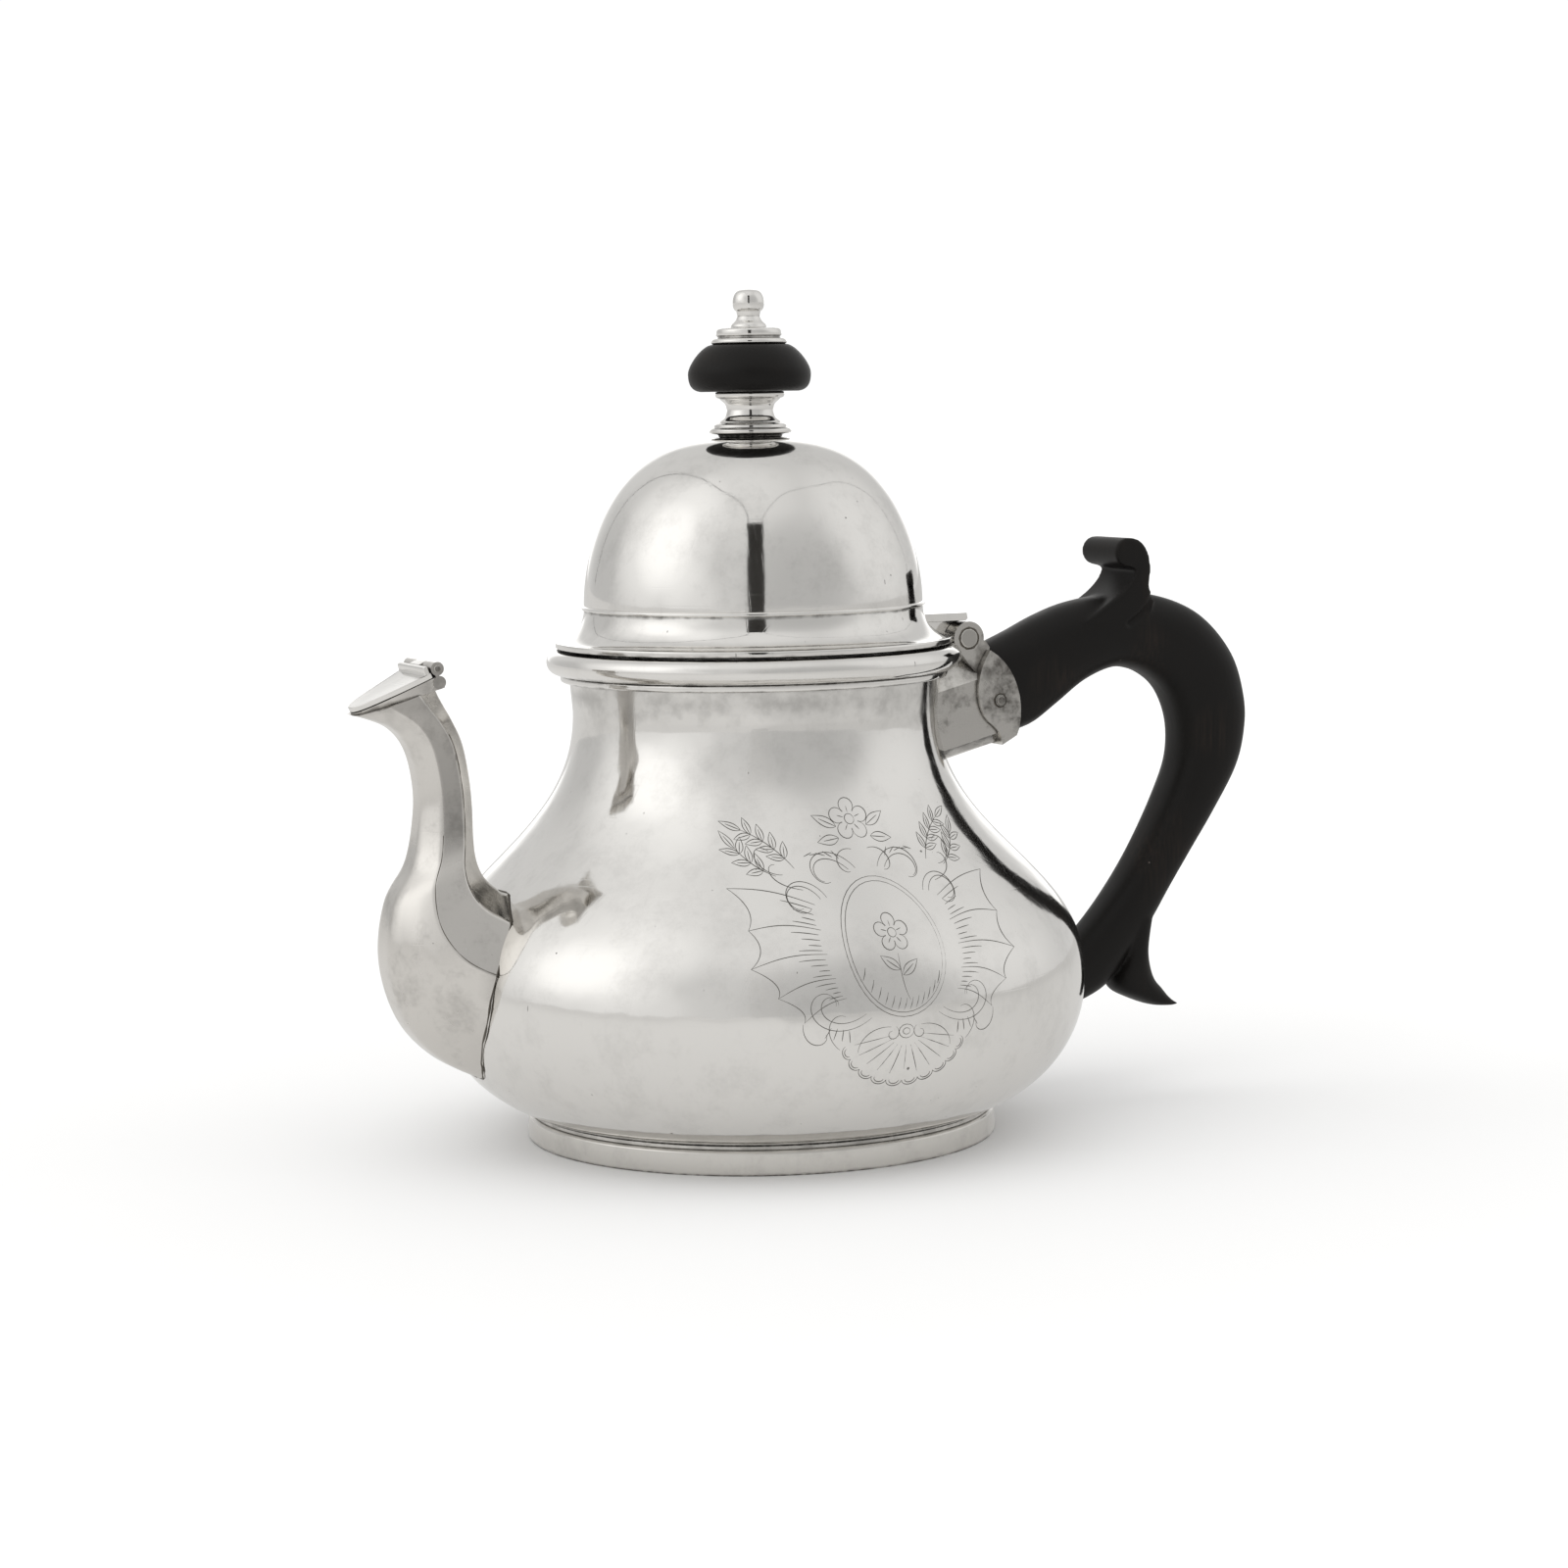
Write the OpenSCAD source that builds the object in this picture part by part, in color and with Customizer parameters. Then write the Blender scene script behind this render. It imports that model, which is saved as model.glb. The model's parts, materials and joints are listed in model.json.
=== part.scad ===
// Pear-shaped silver teapot on a ring foot, with a domed hinged lid, an eight-sided
// swan-neck spout closed by a small hinged flap, and a carved blackened-wood handle.
// Millimetres. The origin is the centre of the foot's resting plane. +Z is up, the spout
// points along -X, the handle along +X, and both hinges turn about axes along Y.

/* [Body] */
// Largest radius of the belly
belly_r = 62.2; // [61.5:0.1:63]
// Height of the belly's widest ring
belly_z = 29.5; // [28.5:0.1:30.5]
// Smallest radius of the neck
neck_r = 34.6; // [34:0.1:35]
// Height of the neck's narrowest ring
neck_z = 81; // [79:0.5:83]
// Thickness of the raised silver sheet
wall = 1; // [0.8:0.1:1.2]

/* [Foot and mouth] */
// Outer radius of the foot ring
foot_r = 44.8; // [44.2:0.1:46]
// Height of the foot ring
foot_h = 5.4; // [5:0.1:5.6]
// Height of the top of the mouth moulding
mouth_z = 93; // [92.5:0.1:93.2]
// Outer radius of the mouth moulding
bead_r = 39.4; // [38.8:0.1:39.5]
// Height of the half-round mouth moulding
bead_h = 4.7; // [4.2:0.1:5]
// Radius of the thin fillet wire under the mouth moulding
fillet_r = 36.8; // [36.4:0.1:37.2]
// Height of the thin fillet wire
fillet_h = 1.4; // [1:0.1:1.8]

/* [Lid] */
// Outer radius of the lid's rim
lid_r = 37.6; // [37:0.1:37.8]
// Radius of the dome at its foot
dome_r = 32.1; // [31.8:0.1:32.4]
// Height of the raised line between the rim's hollow and the dome
ridge_z = 100.6; // [100:0.1:101]
// Height of the top of the dome
dome_z = 132.3; // [132:0.1:132.8]
// Depth of the ring inside the mouth that centres the lid
bezel_h = 4; // [3:0.5:5]
// Gap between the lid's rim and the mouth moulding
lid_gap = 0.25; // [0.2:0.05:0.4]

/* [Finial] */
// Largest radius of the wooden disc
disc_r = 11.6; // [11:0.1:12]
// Height of the wooden disc
disc_h = 8.8; // [8.5:0.1:9]
// Overall height of the teapot
total_h = 160; // [159:0.5:161]
// Radius of the rod through the finial
rod_r = 1.3; // [1.1:0.1:1.5]

/* [Spout] */
// Thickness of the cast spout's wall
spout_wall = 1.2; // [1:0.1:1.4]
// Slope of the spout's mouth in degrees
mouth_tilt = 25; // [24.5:0.5:25.5]
// Length of the flap from hinge axis to tip
flap_l = 16; // [15.5:0.1:16.5]
// Half width of the flap at its hinge
flap_w = 7.5; // [7.3:0.1:7.6]
// Thickness of the flap
flap_t = 1; // [0.8:0.1:1]
// Radius of the flap's hinge barrel
flap_barrel_r = 1.25; // [1.2:0.05:1.3]
// Radius of the flap's hinge pin
flap_pin_r = 0.7; // [0.6:0.05:0.75]
// Radius of each strainer hole behind the spout
strainer_r = 1.4; // [1.2:0.1:1.6]

/* [Lid hinge] */
// Distance of the lid's hinge axis from the teapot's axis
hinge_x = 43; // [42.9:0.1:43.1]
// Height of the lid's hinge axis
hinge_z = 92.8; // [92.7:0.1:92.9]
// Radius of the hinge barrel
barrel_r = 3.25; // [3.1:0.05:3.3]
// Half length of the hinge barrel
barrel_half = 6; // [5.8:0.1:6.2]
// Half length of the lid's knuckle
knuckle_half = 2; // [1.8:0.1:2.2]
// Radius of the hinge pin
pin_r = 1.9; // [1.7:0.1:2]

/* [Handle] */
// Slope of the handle socket in degrees
socket_tilt = 14; // [13.5:0.5:14.5]
// Half width of the handle socket
socket_w = 6.8; // [6.6:0.1:6.9]
// Half width of the handle at its arch
handle_w = 7.3; // [7:0.1:7.4]
// Radius of the thumb scroll's roll
roll_r = 2.8; // [2.6:0.1:3]
// Radius of the rivet through the socket
rivet_r = 1.15; // [1:0.05:1.2]
// Radius of the silver spigot under the handle's lower end
spigot_r = 2.2; // [2:0.1:2.4]

/* [Hidden] */

// Facets of a full turn
$fn = 96;
// Clearance of a pin in a knuckle that turns on it
run = 0.05;
// Gap between knuckles that turn past each other
end_gap = 0.15;
// Steps in each curved stretch of an outline
curve_steps = 9;
// A little extra, so that a cut passes right through
cut = 1;

silver = [0.80, 0.79, 0.77];
dark_silver = [0.62, 0.61, 0.59];
black_wood = [0.07, 0.06, 0.06];

// Outline of the body's outside: foot to belly, belly to shoulder, shoulder to neck.
shoulder = [48.6, 54];
body_curve = concat(
    chain([foot_r - 1, foot_h], [55.3, 9.4], [belly_r, 18.5], [belly_r, belly_z]),
    chain([belly_r, belly_z], [belly_r, 40], [57.6, 45], shoulder),
    curve(shoulder, [41.2, 61.4], [neck_r, 69], [neck_r, neck_z]));
neck_top_r = neck_r + 0.6;
bead_z = mouth_z - bead_h;
fillet_z = bead_z - fillet_h;

// Outline of the lid's outside above its rim.
rim_z = mouth_z + lid_gap;
rim_t = 1.1;
dome_curve = curve([dome_r, ridge_z + 0.5], [dome_r, 109.7], [27.5, dome_z + 0.3], [5.4, dome_z]);
lid_curve = concat(
    curve([lid_r - 0.5, rim_z + rim_t], [34, rim_z + 1.6],
          [dome_r + 0.2, 97.2], [dome_r, ridge_z - 0.4]),
    [[dome_r + 0.4, ridge_z - 0.2], [dome_r + 0.4, ridge_z + 0.3]],
    dome_curve);
bezel_r = neck_r - wall - 0.4;

// Heights in the finial, from the dome up
disc_z = 140.9;
cap_z = disc_z + disc_h;

// The flap's hinge axis
flap_axis = [-66.3, 0, 92];
// Extra tilt of the underside of the spout's lip
lip_wedge = 7.25;
// Depth of the lip below the flap's hinge axis
lip_depth = 3.7;
lip_top = -flap_t - 0.15 - 0.1;
// Radius of the round end of the lip's hinge tongue
tongue_r = 1.2;

// Inner edge, outer edge, half width, and how far the section has the base's shape,
// from the belly to the mouth: [inner x, inner z, outer x, outer z, half width, base].
spout_stations = [
    [-46.0, 50.5, -46.0, 12.0, 16.7, 1.0],
    [-52.7, 49.8, -56.2, 14.7, 16.7, 1.0],
    [-55.2, 51.2, -65.8, 19.6, 15.8, 0.9],
    [-57.0, 53.0, -72.4, 27.1, 14.0, 0.7],
    [-58.0, 55.2, -75.5, 37.8, 11.5, 0.45],
    [-58.4, 57.8, -74.3, 48.5, 9.2, 0.25],
    [-58.4, 61.2, -70.2, 56.0, 7.2, 0.1],
    [-58.3, 66.0, -68.5, 65.0, 5.9, 0],
    [-58.7, 71.5, -68.7, 71.5, 5.5, 0],
    [-59.9, 77.8, -70.2, 77.2, 5.6, 0],
    [-61.9, 82.2, -73.0, 80.8, 6.1, 0],
    [-64.4, 86.6, -77.2, 82.8, 6.7, 0],
    [-66.6, 91.5, -83.0, 84.4, 7.2, 0]];
// The section's corners, as [share of the way from inner to outer edge, share of half width].
neck_section = [[0, 0.41], [0.29, 1], [0.71, 1], [0.86, 0.72], [1, 0.41]];
base_section = [[0, 0.3], [0.137, 0.77], [0.427, 1], [0.707, 0.92], [1, 0.26]];

// Lower edge, upper edge and half width along the handle, from socket to belly:
// [lower x, lower z, upper x, upper z, half width].
handle_stations = [
    [52.7, 73.4, 48.4, 91.0, 6.6],
    [58.5, 75.0, 54.6, 93.5, 6.8],
    [64.0, 78.6, 61.2, 96.4, 7.0],
    [70.2, 82.9, 68.2, 98.6, 7.2],
    [76.8, 85.3, 77.2, 99.8, handle_w],
    [82.0, 84.8, 87.2, 99.4, handle_w],
    [85.9, 83.0, 97.0, 95.4, handle_w],
    [89.0, 80.2, 104.3, 87.5, 7.2],
    [91.2, 75.8, 107.3, 78.5, 7.1],
    [92.0, 71.0, 107.3, 71.4, 7.0],
    [91.4, 65.8, 105.2, 64.0, 6.8],
    [89.1, 60.1, 99.8, 55.2, 6.5],
    [85.5, 53.2, 94.8, 48.0, 6.2],
    [81.2, 46.3, 89.9, 40.8, 5.9],
    [76.1, 39.6, 85.2, 33.6, 5.7],
    [70.6, 33.6, 79.9, 27.2, 5.5],
    [65.4, 29.2, 74.2, 21.1, 5.4],
    [58.0, 25.5, 64.0, 17.5, 5.3],
    [52.0, 23.5, 55.0, 16.5, 5.2]];
tail_stations = [
    [79.5, 34.5, 85.6, 35.2, 5.5],
    [79.0, 27.6, 84.7, 29.2, 5.3],
    [77.3, 22.6, 85.4, 25.0, 5.2],
    [78.2, 20.2, 86.5, 22.2, 5.1],
    [81.8, 18.3, 88.0, 20.4, 5.0],
    [85.6, 16.9, 89.0, 19.0, 4.8],
    [88.9, 16.6, 90.2, 17.7, 4.5],
    [90.9, 16.8, 91.1, 17.1, 4.2]];
// Side view of the thumb scroll under its roll
scroll_points = [
    [72.5, 97.6], [75.4, 100.0], [77.8, 101.7], [79.5, 103.3], [80.2, 105.0], [78.2, 108.3],
    [78.2, 111.1],
    [80.4, 110.6], [82.0, 109.2], [82.9, 107.2], [83.1, 104.8], [82.7, 102.2], [83.2, 99.0],
    [82.0, 97.0]];
roll_centre = [78.2, 0, 108.3];
scroll_w = handle_w - 0.2;
// Side view of the collar at the socket's end
collar_points = concat(
    [[49.2, 71.9], [52.4, 73.6]],
    chain([53.0, 75], [54.4, 81.5], [51.8, 87.6], [46.8, 90.4]),
    chain([46.8, 90.4], [43.3, 86], [43.3, 79.5], [46.2, 76.6]),
    curve([46.2, 76.6], [48.0, 75.2], [49.0, 74.2], [49.2, 72.4]));
hinge_at = [hinge_x, 0, hinge_z];
// Side view of the webs that carry the lid hinge's outer knuckles
post_points = [
    [40.9, 90.4], [42.6, 88.2], [44.4, 86], [46, 86.2], [47.3, 89.2], [47.5, 90.9],
    [46.6, 92.2], [43, 92.8]];
socket_start = [36, 0, 79];
socket_l = 14.7;
// Lower and upper reach of the socket from its own axis
socket_low = 9.7;
socket_high = 8.1;
rivet_at = [48.8, 0, 80.6];
// The spigot under the handle's lower end and the pin across it
spigot_at = [62, 0, 25];
spigot_pin_at = spigot_at + [5.5, 0, 0];
spigot_pin_r = 0.9;

// A cubic curve from a to d that leaves towards b and arrives from c. A chain leaves out
// its last point, so that the next curve can carry on from it.
function chain(a, b, c, d) = [for (i = [0:curve_steps - 1])
    let (t = i / curve_steps, s = 1 - t)
    s * s * s * a + 3 * s * s * t * b + 3 * s * t * t * c + t * t * t * d];
function curve(a, b, c, d) = concat(chain(a, b, c, d), [d]);

// The outline moved in towards the axis, for the inside of a thin shell.
function inset(points, t) = [for (i = [0:len(points) - 1])
    let (a = points[max(i - 1, 0)], b = points[min(i + 1, len(points) - 1)],
         d = b - a, n = norm(d))
    [max(points[i][0] - t * d[1] / n, 0), points[i][1] + t * d[0] / n]];

function reversed(points) = [for (i = [len(points) - 1:-1:0]) points[i]];

// A smooth run through a list of stations, with the given steps between neighbours.
function between(a, b, c, d, t) =
    0.5 * (2 * b + (c - a) * t + (2 * a - 5 * b + 4 * c - d) * t * t
           + (3 * b - a - 3 * c + d) * t * t * t);
function run_through(rows, steps) = concat(
    [for (i = [0:len(rows) - 2]) for (k = [0:steps - 1])
        between(rows[max(i - 1, 0)], rows[i], rows[i + 1],
                rows[min(i + 2, len(rows) - 1)], k / steps)],
    [rows[len(rows) - 1]]);

// One ring of points from a station and a section's corners.
function ring_point(row, share, y) =
    [row[0] + (row[2] - row[0]) * share, y, row[1] + (row[3] - row[1]) * share];
function spout_section(base) = neck_section * (1 - base) + base_section * base;
function spout_ring(row) = let (s = spout_section(row[5])) concat(
    [for (p = s) ring_point(row, p[0], -p[1] * row[4])],
    [for (p = reversed(s)) ring_point(row, p[0], p[1] * row[4])]);
// The same station with its section drawn in by the wall's thickness.
function thinned(row, t) = let (d = [row[2] - row[0], row[3] - row[1]], u = d / norm(d) * t)
    [row[0] + u[0], row[1] + u[1], row[2] - u[0], row[3] - u[1], row[4] - t, row[5]];

// A rounded section of the handle: a little squarer than an ellipse.
section_sides = 16;
function rounded(v) = sign(v) * pow(abs(v), 0.8);
function handle_ring(row) = [for (i = [0:section_sides - 1])
    let (a = 360 * i / section_sides)
    ring_point(row, 0.5 - rounded(cos(a)) / 2, -rounded(sin(a)) * row[4])];

// A closed solid through a list of rings that all have the same number of points.
module loft(rings) {
    n = len(rings[0]);
    last = len(rings) - 1;
    points = [for (ring = rings) for (p = ring) p];
    walls = [for (i = [0:last - 1]) for (j = [0:n - 1])
        let (a = i * n + j, b = i * n + (j + 1) % n)
        each [[a, b, b + n], [a, b + n, a + n]]];
    ends = [[for (j = [n - 1:-1:0]) j], [for (j = [0:n - 1]) last * n + j]];
    polyhedron(points = points, faces = concat(walls, ends), convexity = 6);
}

module turned(points) {
    rotate_extrude() polygon(points);
}

// A flat shape drawn in the X-Z plane, made solid between two values of y.
module slab(points, y0, y1) {
    translate([0, y1, 0]) rotate([90, 0, 0]) linear_extrude(y1 - y0) polygon(points);
}

// A cylinder along Y between two values of y.
module bar(centre, r, y0, y1) {
    translate([centre[0], y0, centre[2]]) rotate([-90, 0, 0]) cylinder(r = r, h = y1 - y0);
}

// The solid pot without its hollow, used to cut what is fitted against it.
module solid_pot() {
    turned(concat([[0, foot_h]], body_curve,
                  [[neck_top_r - 0.1, fillet_z], [fillet_r, fillet_z], [fillet_r, bead_z],
                   [neck_top_r, bead_z], [neck_top_r, mouth_z], [0, mouth_z]]));
}

module body_shell() {
    outside = concat([[0, foot_h + 1]], body_curve,
                     [[neck_top_r, bead_z], [neck_top_r, mouth_z - 0.2]]);
    inside = concat([[neck_top_r - wall, mouth_z - 0.2], [neck_top_r - wall, bead_z]],
                    reversed(inset(body_curve, wall)), [[0, foot_h + 1 + wall]]);
    color(silver) difference() {
        turned(concat(outside, inside));
        strainer_holes();
    }
}

// Holes pierced through the belly inside the spout's foot, one ring round another.
module strainer_holes() {
    centre_z = 33;
    pitch = 4.2;
    for (ring = [0:2])
        for (i = [0:max(ring * 6 - 1, 0)]) {
            turn = 60 * i / max(ring, 1);
            translate([-belly_r - cut, pitch * ring * cos(turn), centre_z + pitch * ring * sin(turn)])
                rotate([0, 90, 0]) cylinder(r = strainer_r, h = 14, $fn = 24);
        }
}

module foot_ring() {
    color(silver) turned([
        [foot_r - 2.6, 0], [foot_r - 0.2, 0], [foot_r, 0.5], [foot_r, foot_h - 1.1],
        [foot_r - 0.4, foot_h - 0.7], [foot_r - 0.8, foot_h - 0.6], [foot_r - 0.9, foot_h],
        [foot_r - 2.6, foot_h]]);
}

module mouth_fillet() {
    color(silver) turned([
        [neck_top_r, fillet_z], [fillet_r - 0.4, fillet_z], [fillet_r, fillet_z + 0.4],
        [fillet_r, bead_z - 0.3], [fillet_r - 0.3, bead_z], [neck_top_r, bead_z]]);
}

module mouth_bead() {
    mid_z = bead_z + bead_h / 2;
    flat_r = bead_r - bead_h / 2;
    color(silver) turned(concat(
        [[neck_top_r, bead_z]],
        [for (a = [-90:15:90]) [flat_r + cos(a) * bead_h / 2, mid_z + sin(a) * bead_h / 2]],
        [[neck_top_r, mouth_z]]));
}

// The half space under the spout's lip.
module under_lip(up) {
    translate(flap_axis) rotate([0, -mouth_tilt + lip_wedge, 0])
        translate([-60, -30, up ? -lip_depth : -lip_depth - 90]) cube([90, 60, 90]);
}

module spout_body() {
    rows = run_through(spout_stations, 2);
    difference() {
        loft([for (row = rows) spout_ring(row)]);
        loft([for (row = rows) spout_ring(thinned(row, spout_wall))]);
        solid_pot();
        under_lip(true);
    }
}

// The spout is cast in two halves that meet on the teapot's middle plane.
module spout_half(side) {
    intersection() {
        spout_body();
        translate([-100, side > 0 ? 0 : -30, 0]) cube([60, 30, 100]);
    }
}

module spout_half_left() {
    color(silver) spout_half(1);
}

module spout_half_right() {
    color(silver) spout_half(-1);
}

// Moves a shape drawn with the hinge axis at the origin onto the sloping mouth.
module on_mouth() {
    translate(flap_axis) rotate([0, -mouth_tilt, 0]) children();
}

// The flap's outline seen from above, narrowing from the hinge to a rounded tip.
leaf_steps = 12;
leaf_power = 2.4;
function leaf(length, half, start) = concat(
    [for (i = [0:leaf_steps]) let (s = i / leaf_steps)
        [-length + (length - start) * pow(s, leaf_power), half * s]],
    [for (i = [leaf_steps:-1:1]) let (s = i / leaf_steps)
        [-length + (length - start) * pow(s, leaf_power), -half * s]]);

// A leaf-shaped plate, thick at the hinge, whose rounded end is the hinge's tongue.
module spout_lip() {
    color(silver) difference() {
        on_mouth() {
            translate([0, 0, -lip_depth - 2])
                linear_extrude(lip_depth + 2 + lip_top) polygon(leaf(flap_l, flap_w, 0.2));
            bar([-0.7, 0, lip_top - tongue_r], tongue_r, -flap_w, flap_w);
        }
        under_lip(false);
        on_mouth() translate([0, 0, -lip_depth - 3])
            linear_extrude(lip_depth + 4) polygon(leaf(flap_l - 2.6, flap_w - 1.9, 4.2));
    }
}

flap_third = flap_w / 3;

// Two knuckles on short webs that stand on the lip.
module flap_hinge_lugs() {
    color(silver) difference() {
        on_mouth() for (side = [-1, 1]) {
            y0 = side > 0 ? flap_third + end_gap : -flap_w;
            bar([0, 0, 0], flap_barrel_r, y0, y0 + flap_w - flap_third - end_gap);
            slab([[-0.9, lip_top], [-0.9, -0.4], [0.6, -0.4], [-0.2, lip_top]],
                 y0, y0 + flap_w - flap_third - end_gap);
        }
        on_mouth() bar([0, 0, 0], flap_pin_r, -flap_w - cut, flap_w + cut);
    }
}

module flap_hinge_pin() {
    color(dark_silver) on_mouth() bar([0, 0, 0], flap_pin_r, -flap_w - 0.2, flap_w + 0.2);
}

flap_top = -0.1;
step_x = -flap_barrel_r - 0.2;

// The leaf-shaped cover with the upstand that is folded up in front of the barrel.
module spout_flap() {
    color(silver) on_mouth() {
        translate([0, 0, flap_top - flap_t]) linear_extrude(flap_t)
            polygon(leaf(flap_l, flap_w, -step_x));
        slab([[step_x - 1.1, flap_top], [step_x - 0.9, 1.1], [step_x - 0.6, flap_barrel_r],
              [step_x, flap_barrel_r], [step_x, flap_top]], -flap_w + 0.4, flap_w - 0.4);
    }
}

module flap_knuckle() {
    color(silver) on_mouth() difference() {
        union() {
            bar([0, 0, 0], flap_barrel_r, -flap_third, flap_third);
            slab([[step_x, 0.2], [step_x, flap_barrel_r], [0, flap_barrel_r], [0, 0.2]],
                 -flap_third, flap_third);
        }
        bar([0, 0, 0], flap_pin_r + run, -flap_w, flap_w);
    }
}

// The socket's eight-sided section, drawn in its own plane and grown by t.
function socket_section(t) = [
    [-(socket_w - 2), -socket_low - t], [socket_w - 2, -socket_low - t],
    [socket_w + t, -socket_low + 2], [socket_w + t, 3.6],
    [3.6 + t / 2, socket_high + t], [-3.6 - t / 2, socket_high + t],
    [-socket_w - t, 3.6], [-socket_w - t, -socket_low + 2]];

// The socket's section made solid along its sloping axis from u0 to u1.
module socket_bar(t, u0, u1) {
    translate(socket_start) rotate([0, -socket_tilt, 0]) translate([u0, 0, 0])
        rotate([90, 0, 90]) linear_extrude(u1 - u0) polygon(socket_section(t));
}

module handle_socket() {
    color(silver) difference() {
        socket_bar(0, -8, socket_l);
        socket_bar(-wall, -9, socket_l + cut);
        solid_pot();
        bar(rivet_at, rivet_r, -20, 20);
    }
}

module socket_collar() {
    color(silver) difference() {
        slab(collar_points, -socket_w - 0.9, socket_w + 0.9);
        socket_bar(0, -9, 30);
        bar(rivet_at, rivet_r, -20, 20);
        slab(post_points, -barrel_half, barrel_half);
        bar(hinge_at, barrel_r, -barrel_half, barrel_half);
    }
}

module socket_rivet() {
    color(dark_silver) union() {
        bar(rivet_at, rivet_r, -socket_w - 1.2, socket_w + 1.2);
        for (side = [-1, 1])
            translate([0, side * (socket_w + 1.2), 0])
                bar(rivet_at, rivet_r * 0.7, -0.25, 0.25);
    }
}

module handle() {
    color(black_wood) difference() {
        union() {
            loft([for (row = run_through(handle_stations, 2)) handle_ring(row)]);
            loft([for (row = run_through(tail_stations, 2)) handle_ring(row)]);
            slab(scroll_points, -scroll_w, scroll_w);
            bar(roll_centre, roll_r, -scroll_w, scroll_w);
            socket_bar(-wall - 0.1, 3, socket_l + 2);
        }
        solid_pot();
        bar(rivet_at, rivet_r, -20, 20);
        translate(spigot_at - [4, 0, 0]) rotate([0, 90, 0]) cylinder(r = spigot_r, h = 12.2);
        bar(spigot_pin_at, spigot_pin_r, -20, 20);
    }
}

module handle_spigot() {
    color(silver) difference() {
        translate(spigot_at - [4, 0, 0]) rotate([0, 90, 0]) cylinder(r = spigot_r, h = 12);
        solid_pot();
        bar(spigot_pin_at, spigot_pin_r, -20, 20);
    }
}

module spigot_pin() {
    color(dark_silver) bar(spigot_pin_at, spigot_pin_r, -5.2, 5.2);
}

module lid_hinge_posts() {
    color(silver) difference() {
        for (side = [-1, 1]) {
            y0 = side > 0 ? knuckle_half + end_gap : -barrel_half;
            y1 = y0 + barrel_half - knuckle_half - end_gap;
            bar(hinge_at, barrel_r, y0, y1);
            slab(post_points, y0, y1);
        }
        socket_bar(0, -9, 30);
        bar(hinge_at, pin_r, -20, 20);
    }
}

module lid_hinge_pin() {
    color(dark_silver) bar(hinge_at, pin_r, -barrel_half - 0.2, barrel_half + 0.2);
}

// The solid lid without its hollow, used to cut the hinge leaf against it.
module solid_lid() {
    turned(concat([[0, rim_z], [lid_r, rim_z], [lid_r, rim_z + rim_t]], lid_curve, [[0, dome_z]]));
}

module lid_dome() {
    inner_r = dome_r - wall;
    outside = concat([[bezel_r, rim_z], [lid_r, rim_z], [lid_r, rim_z + rim_t]], lid_curve,
                     [[rod_r, dome_z]]);
    inside = concat([[rod_r, dome_z - wall]], reversed(inset(dome_curve, wall)),
                    curve([inner_r, ridge_z - 0.6], [inner_r, 97.4],
                          [inner_r, 96], [bezel_r, rim_z + wall]));
    color(silver) turned(concat(outside, inside));
}

module lid_bezel() {
    color(silver) turned([
        [bezel_r - 0.9, rim_z - bezel_h + 0.5], [bezel_r - 0.4, rim_z - bezel_h],
        [bezel_r, rim_z - bezel_h + 0.4], [bezel_r, rim_z + 0.9], [bezel_r - 0.9, rim_z + 0.9]]);
}

leaf_z = hinge_z + barrel_r + 0.25;
leaf_t = 1.5;
web_points = [
    [31, leaf_z], [36.4, 95.6], [37.8, 94.2], [39, 93.6], [40.4, 93.4], [43, hinge_z],
    [43, leaf_z]];

module lid_hinge_leaf() {
    color(silver) difference() {
        union() {
            slab([[30, leaf_z], [hinge_x - 0.6, leaf_z], [hinge_x - 0.2, leaf_z + 0.4],
                  [hinge_x - 0.4, leaf_z + leaf_t], [30, leaf_z + leaf_t]],
                 -barrel_half, barrel_half);
            slab(web_points, -knuckle_half, knuckle_half);
            bar(hinge_at, barrel_r, -knuckle_half, knuckle_half);
        }
        solid_lid();
        bar(hinge_at, pin_r + run, -20, 20);
    }
}

module finial_base() {
    color(silver) turned([
        [rod_r, dome_z], [5.4, dome_z], [7.5, dome_z + 0.1], [7.7, dome_z + 0.5], [7.4, dome_z + 0.9],
        [6.9, dome_z + 1], [6.9, dome_z + 1.7], [6.4, dome_z + 2.1], [5.5, dome_z + 2.5],
        [4.6, dome_z + 3.6], [4.35, dome_z + 4.8], [4.6, dome_z + 5.9], [5.6, dome_z + 6.8],
        [6.5, disc_z - 0.9], [6.6, disc_z - 0.5], [6.4, disc_z], [rod_r, disc_z]]);
}

module finial_disc() {
    color(black_wood) turned(concat(
        [[rod_r, disc_z], [9.2, disc_z]],
        chain([9.2, disc_z], [11.1, disc_z + 0.2], [disc_r, disc_z + 1.6], [disc_r, disc_z + 3.3]),
        chain([disc_r, disc_z + 3.3], [disc_r, disc_z + 5.6], [9.3, disc_z + disc_h], [7, disc_z + disc_h]),
        [[rod_r, disc_z + disc_h]]));
}

module finial_cap() {
    ball_z = total_h - 2.5;
    color(silver) turned(concat(
        [[rod_r, cap_z], [6.7, cap_z], [7.1, cap_z + 0.4], [7, cap_z + 1.1], [6.3, cap_z + 1.3],
         [6.2, cap_z + 2.4], [5.7, cap_z + 2.9], [3.5, cap_z + 3.2], [3.2, cap_z + 3.7],
         [2.4, cap_z + 4.4], [2.1, cap_z + 5]],
        [for (a = [-50:10:90]) [2.85 * cos(a), ball_z + 2.5 * sin(a)]],
        [[0, rod_top], [rod_r, rod_top]]));
}

// Height that the rod reaches inside the cap
rod_top = cap_z + 2.4;
nut_h = 2.4;
nut_z = dome_z - wall - nut_h;

module finial_rod() {
    tail = 0.8;
    color(dark_silver) translate([0, 0, nut_z - tail]) cylinder(r = rod_r, h = rod_top - nut_z + tail);
}

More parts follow.
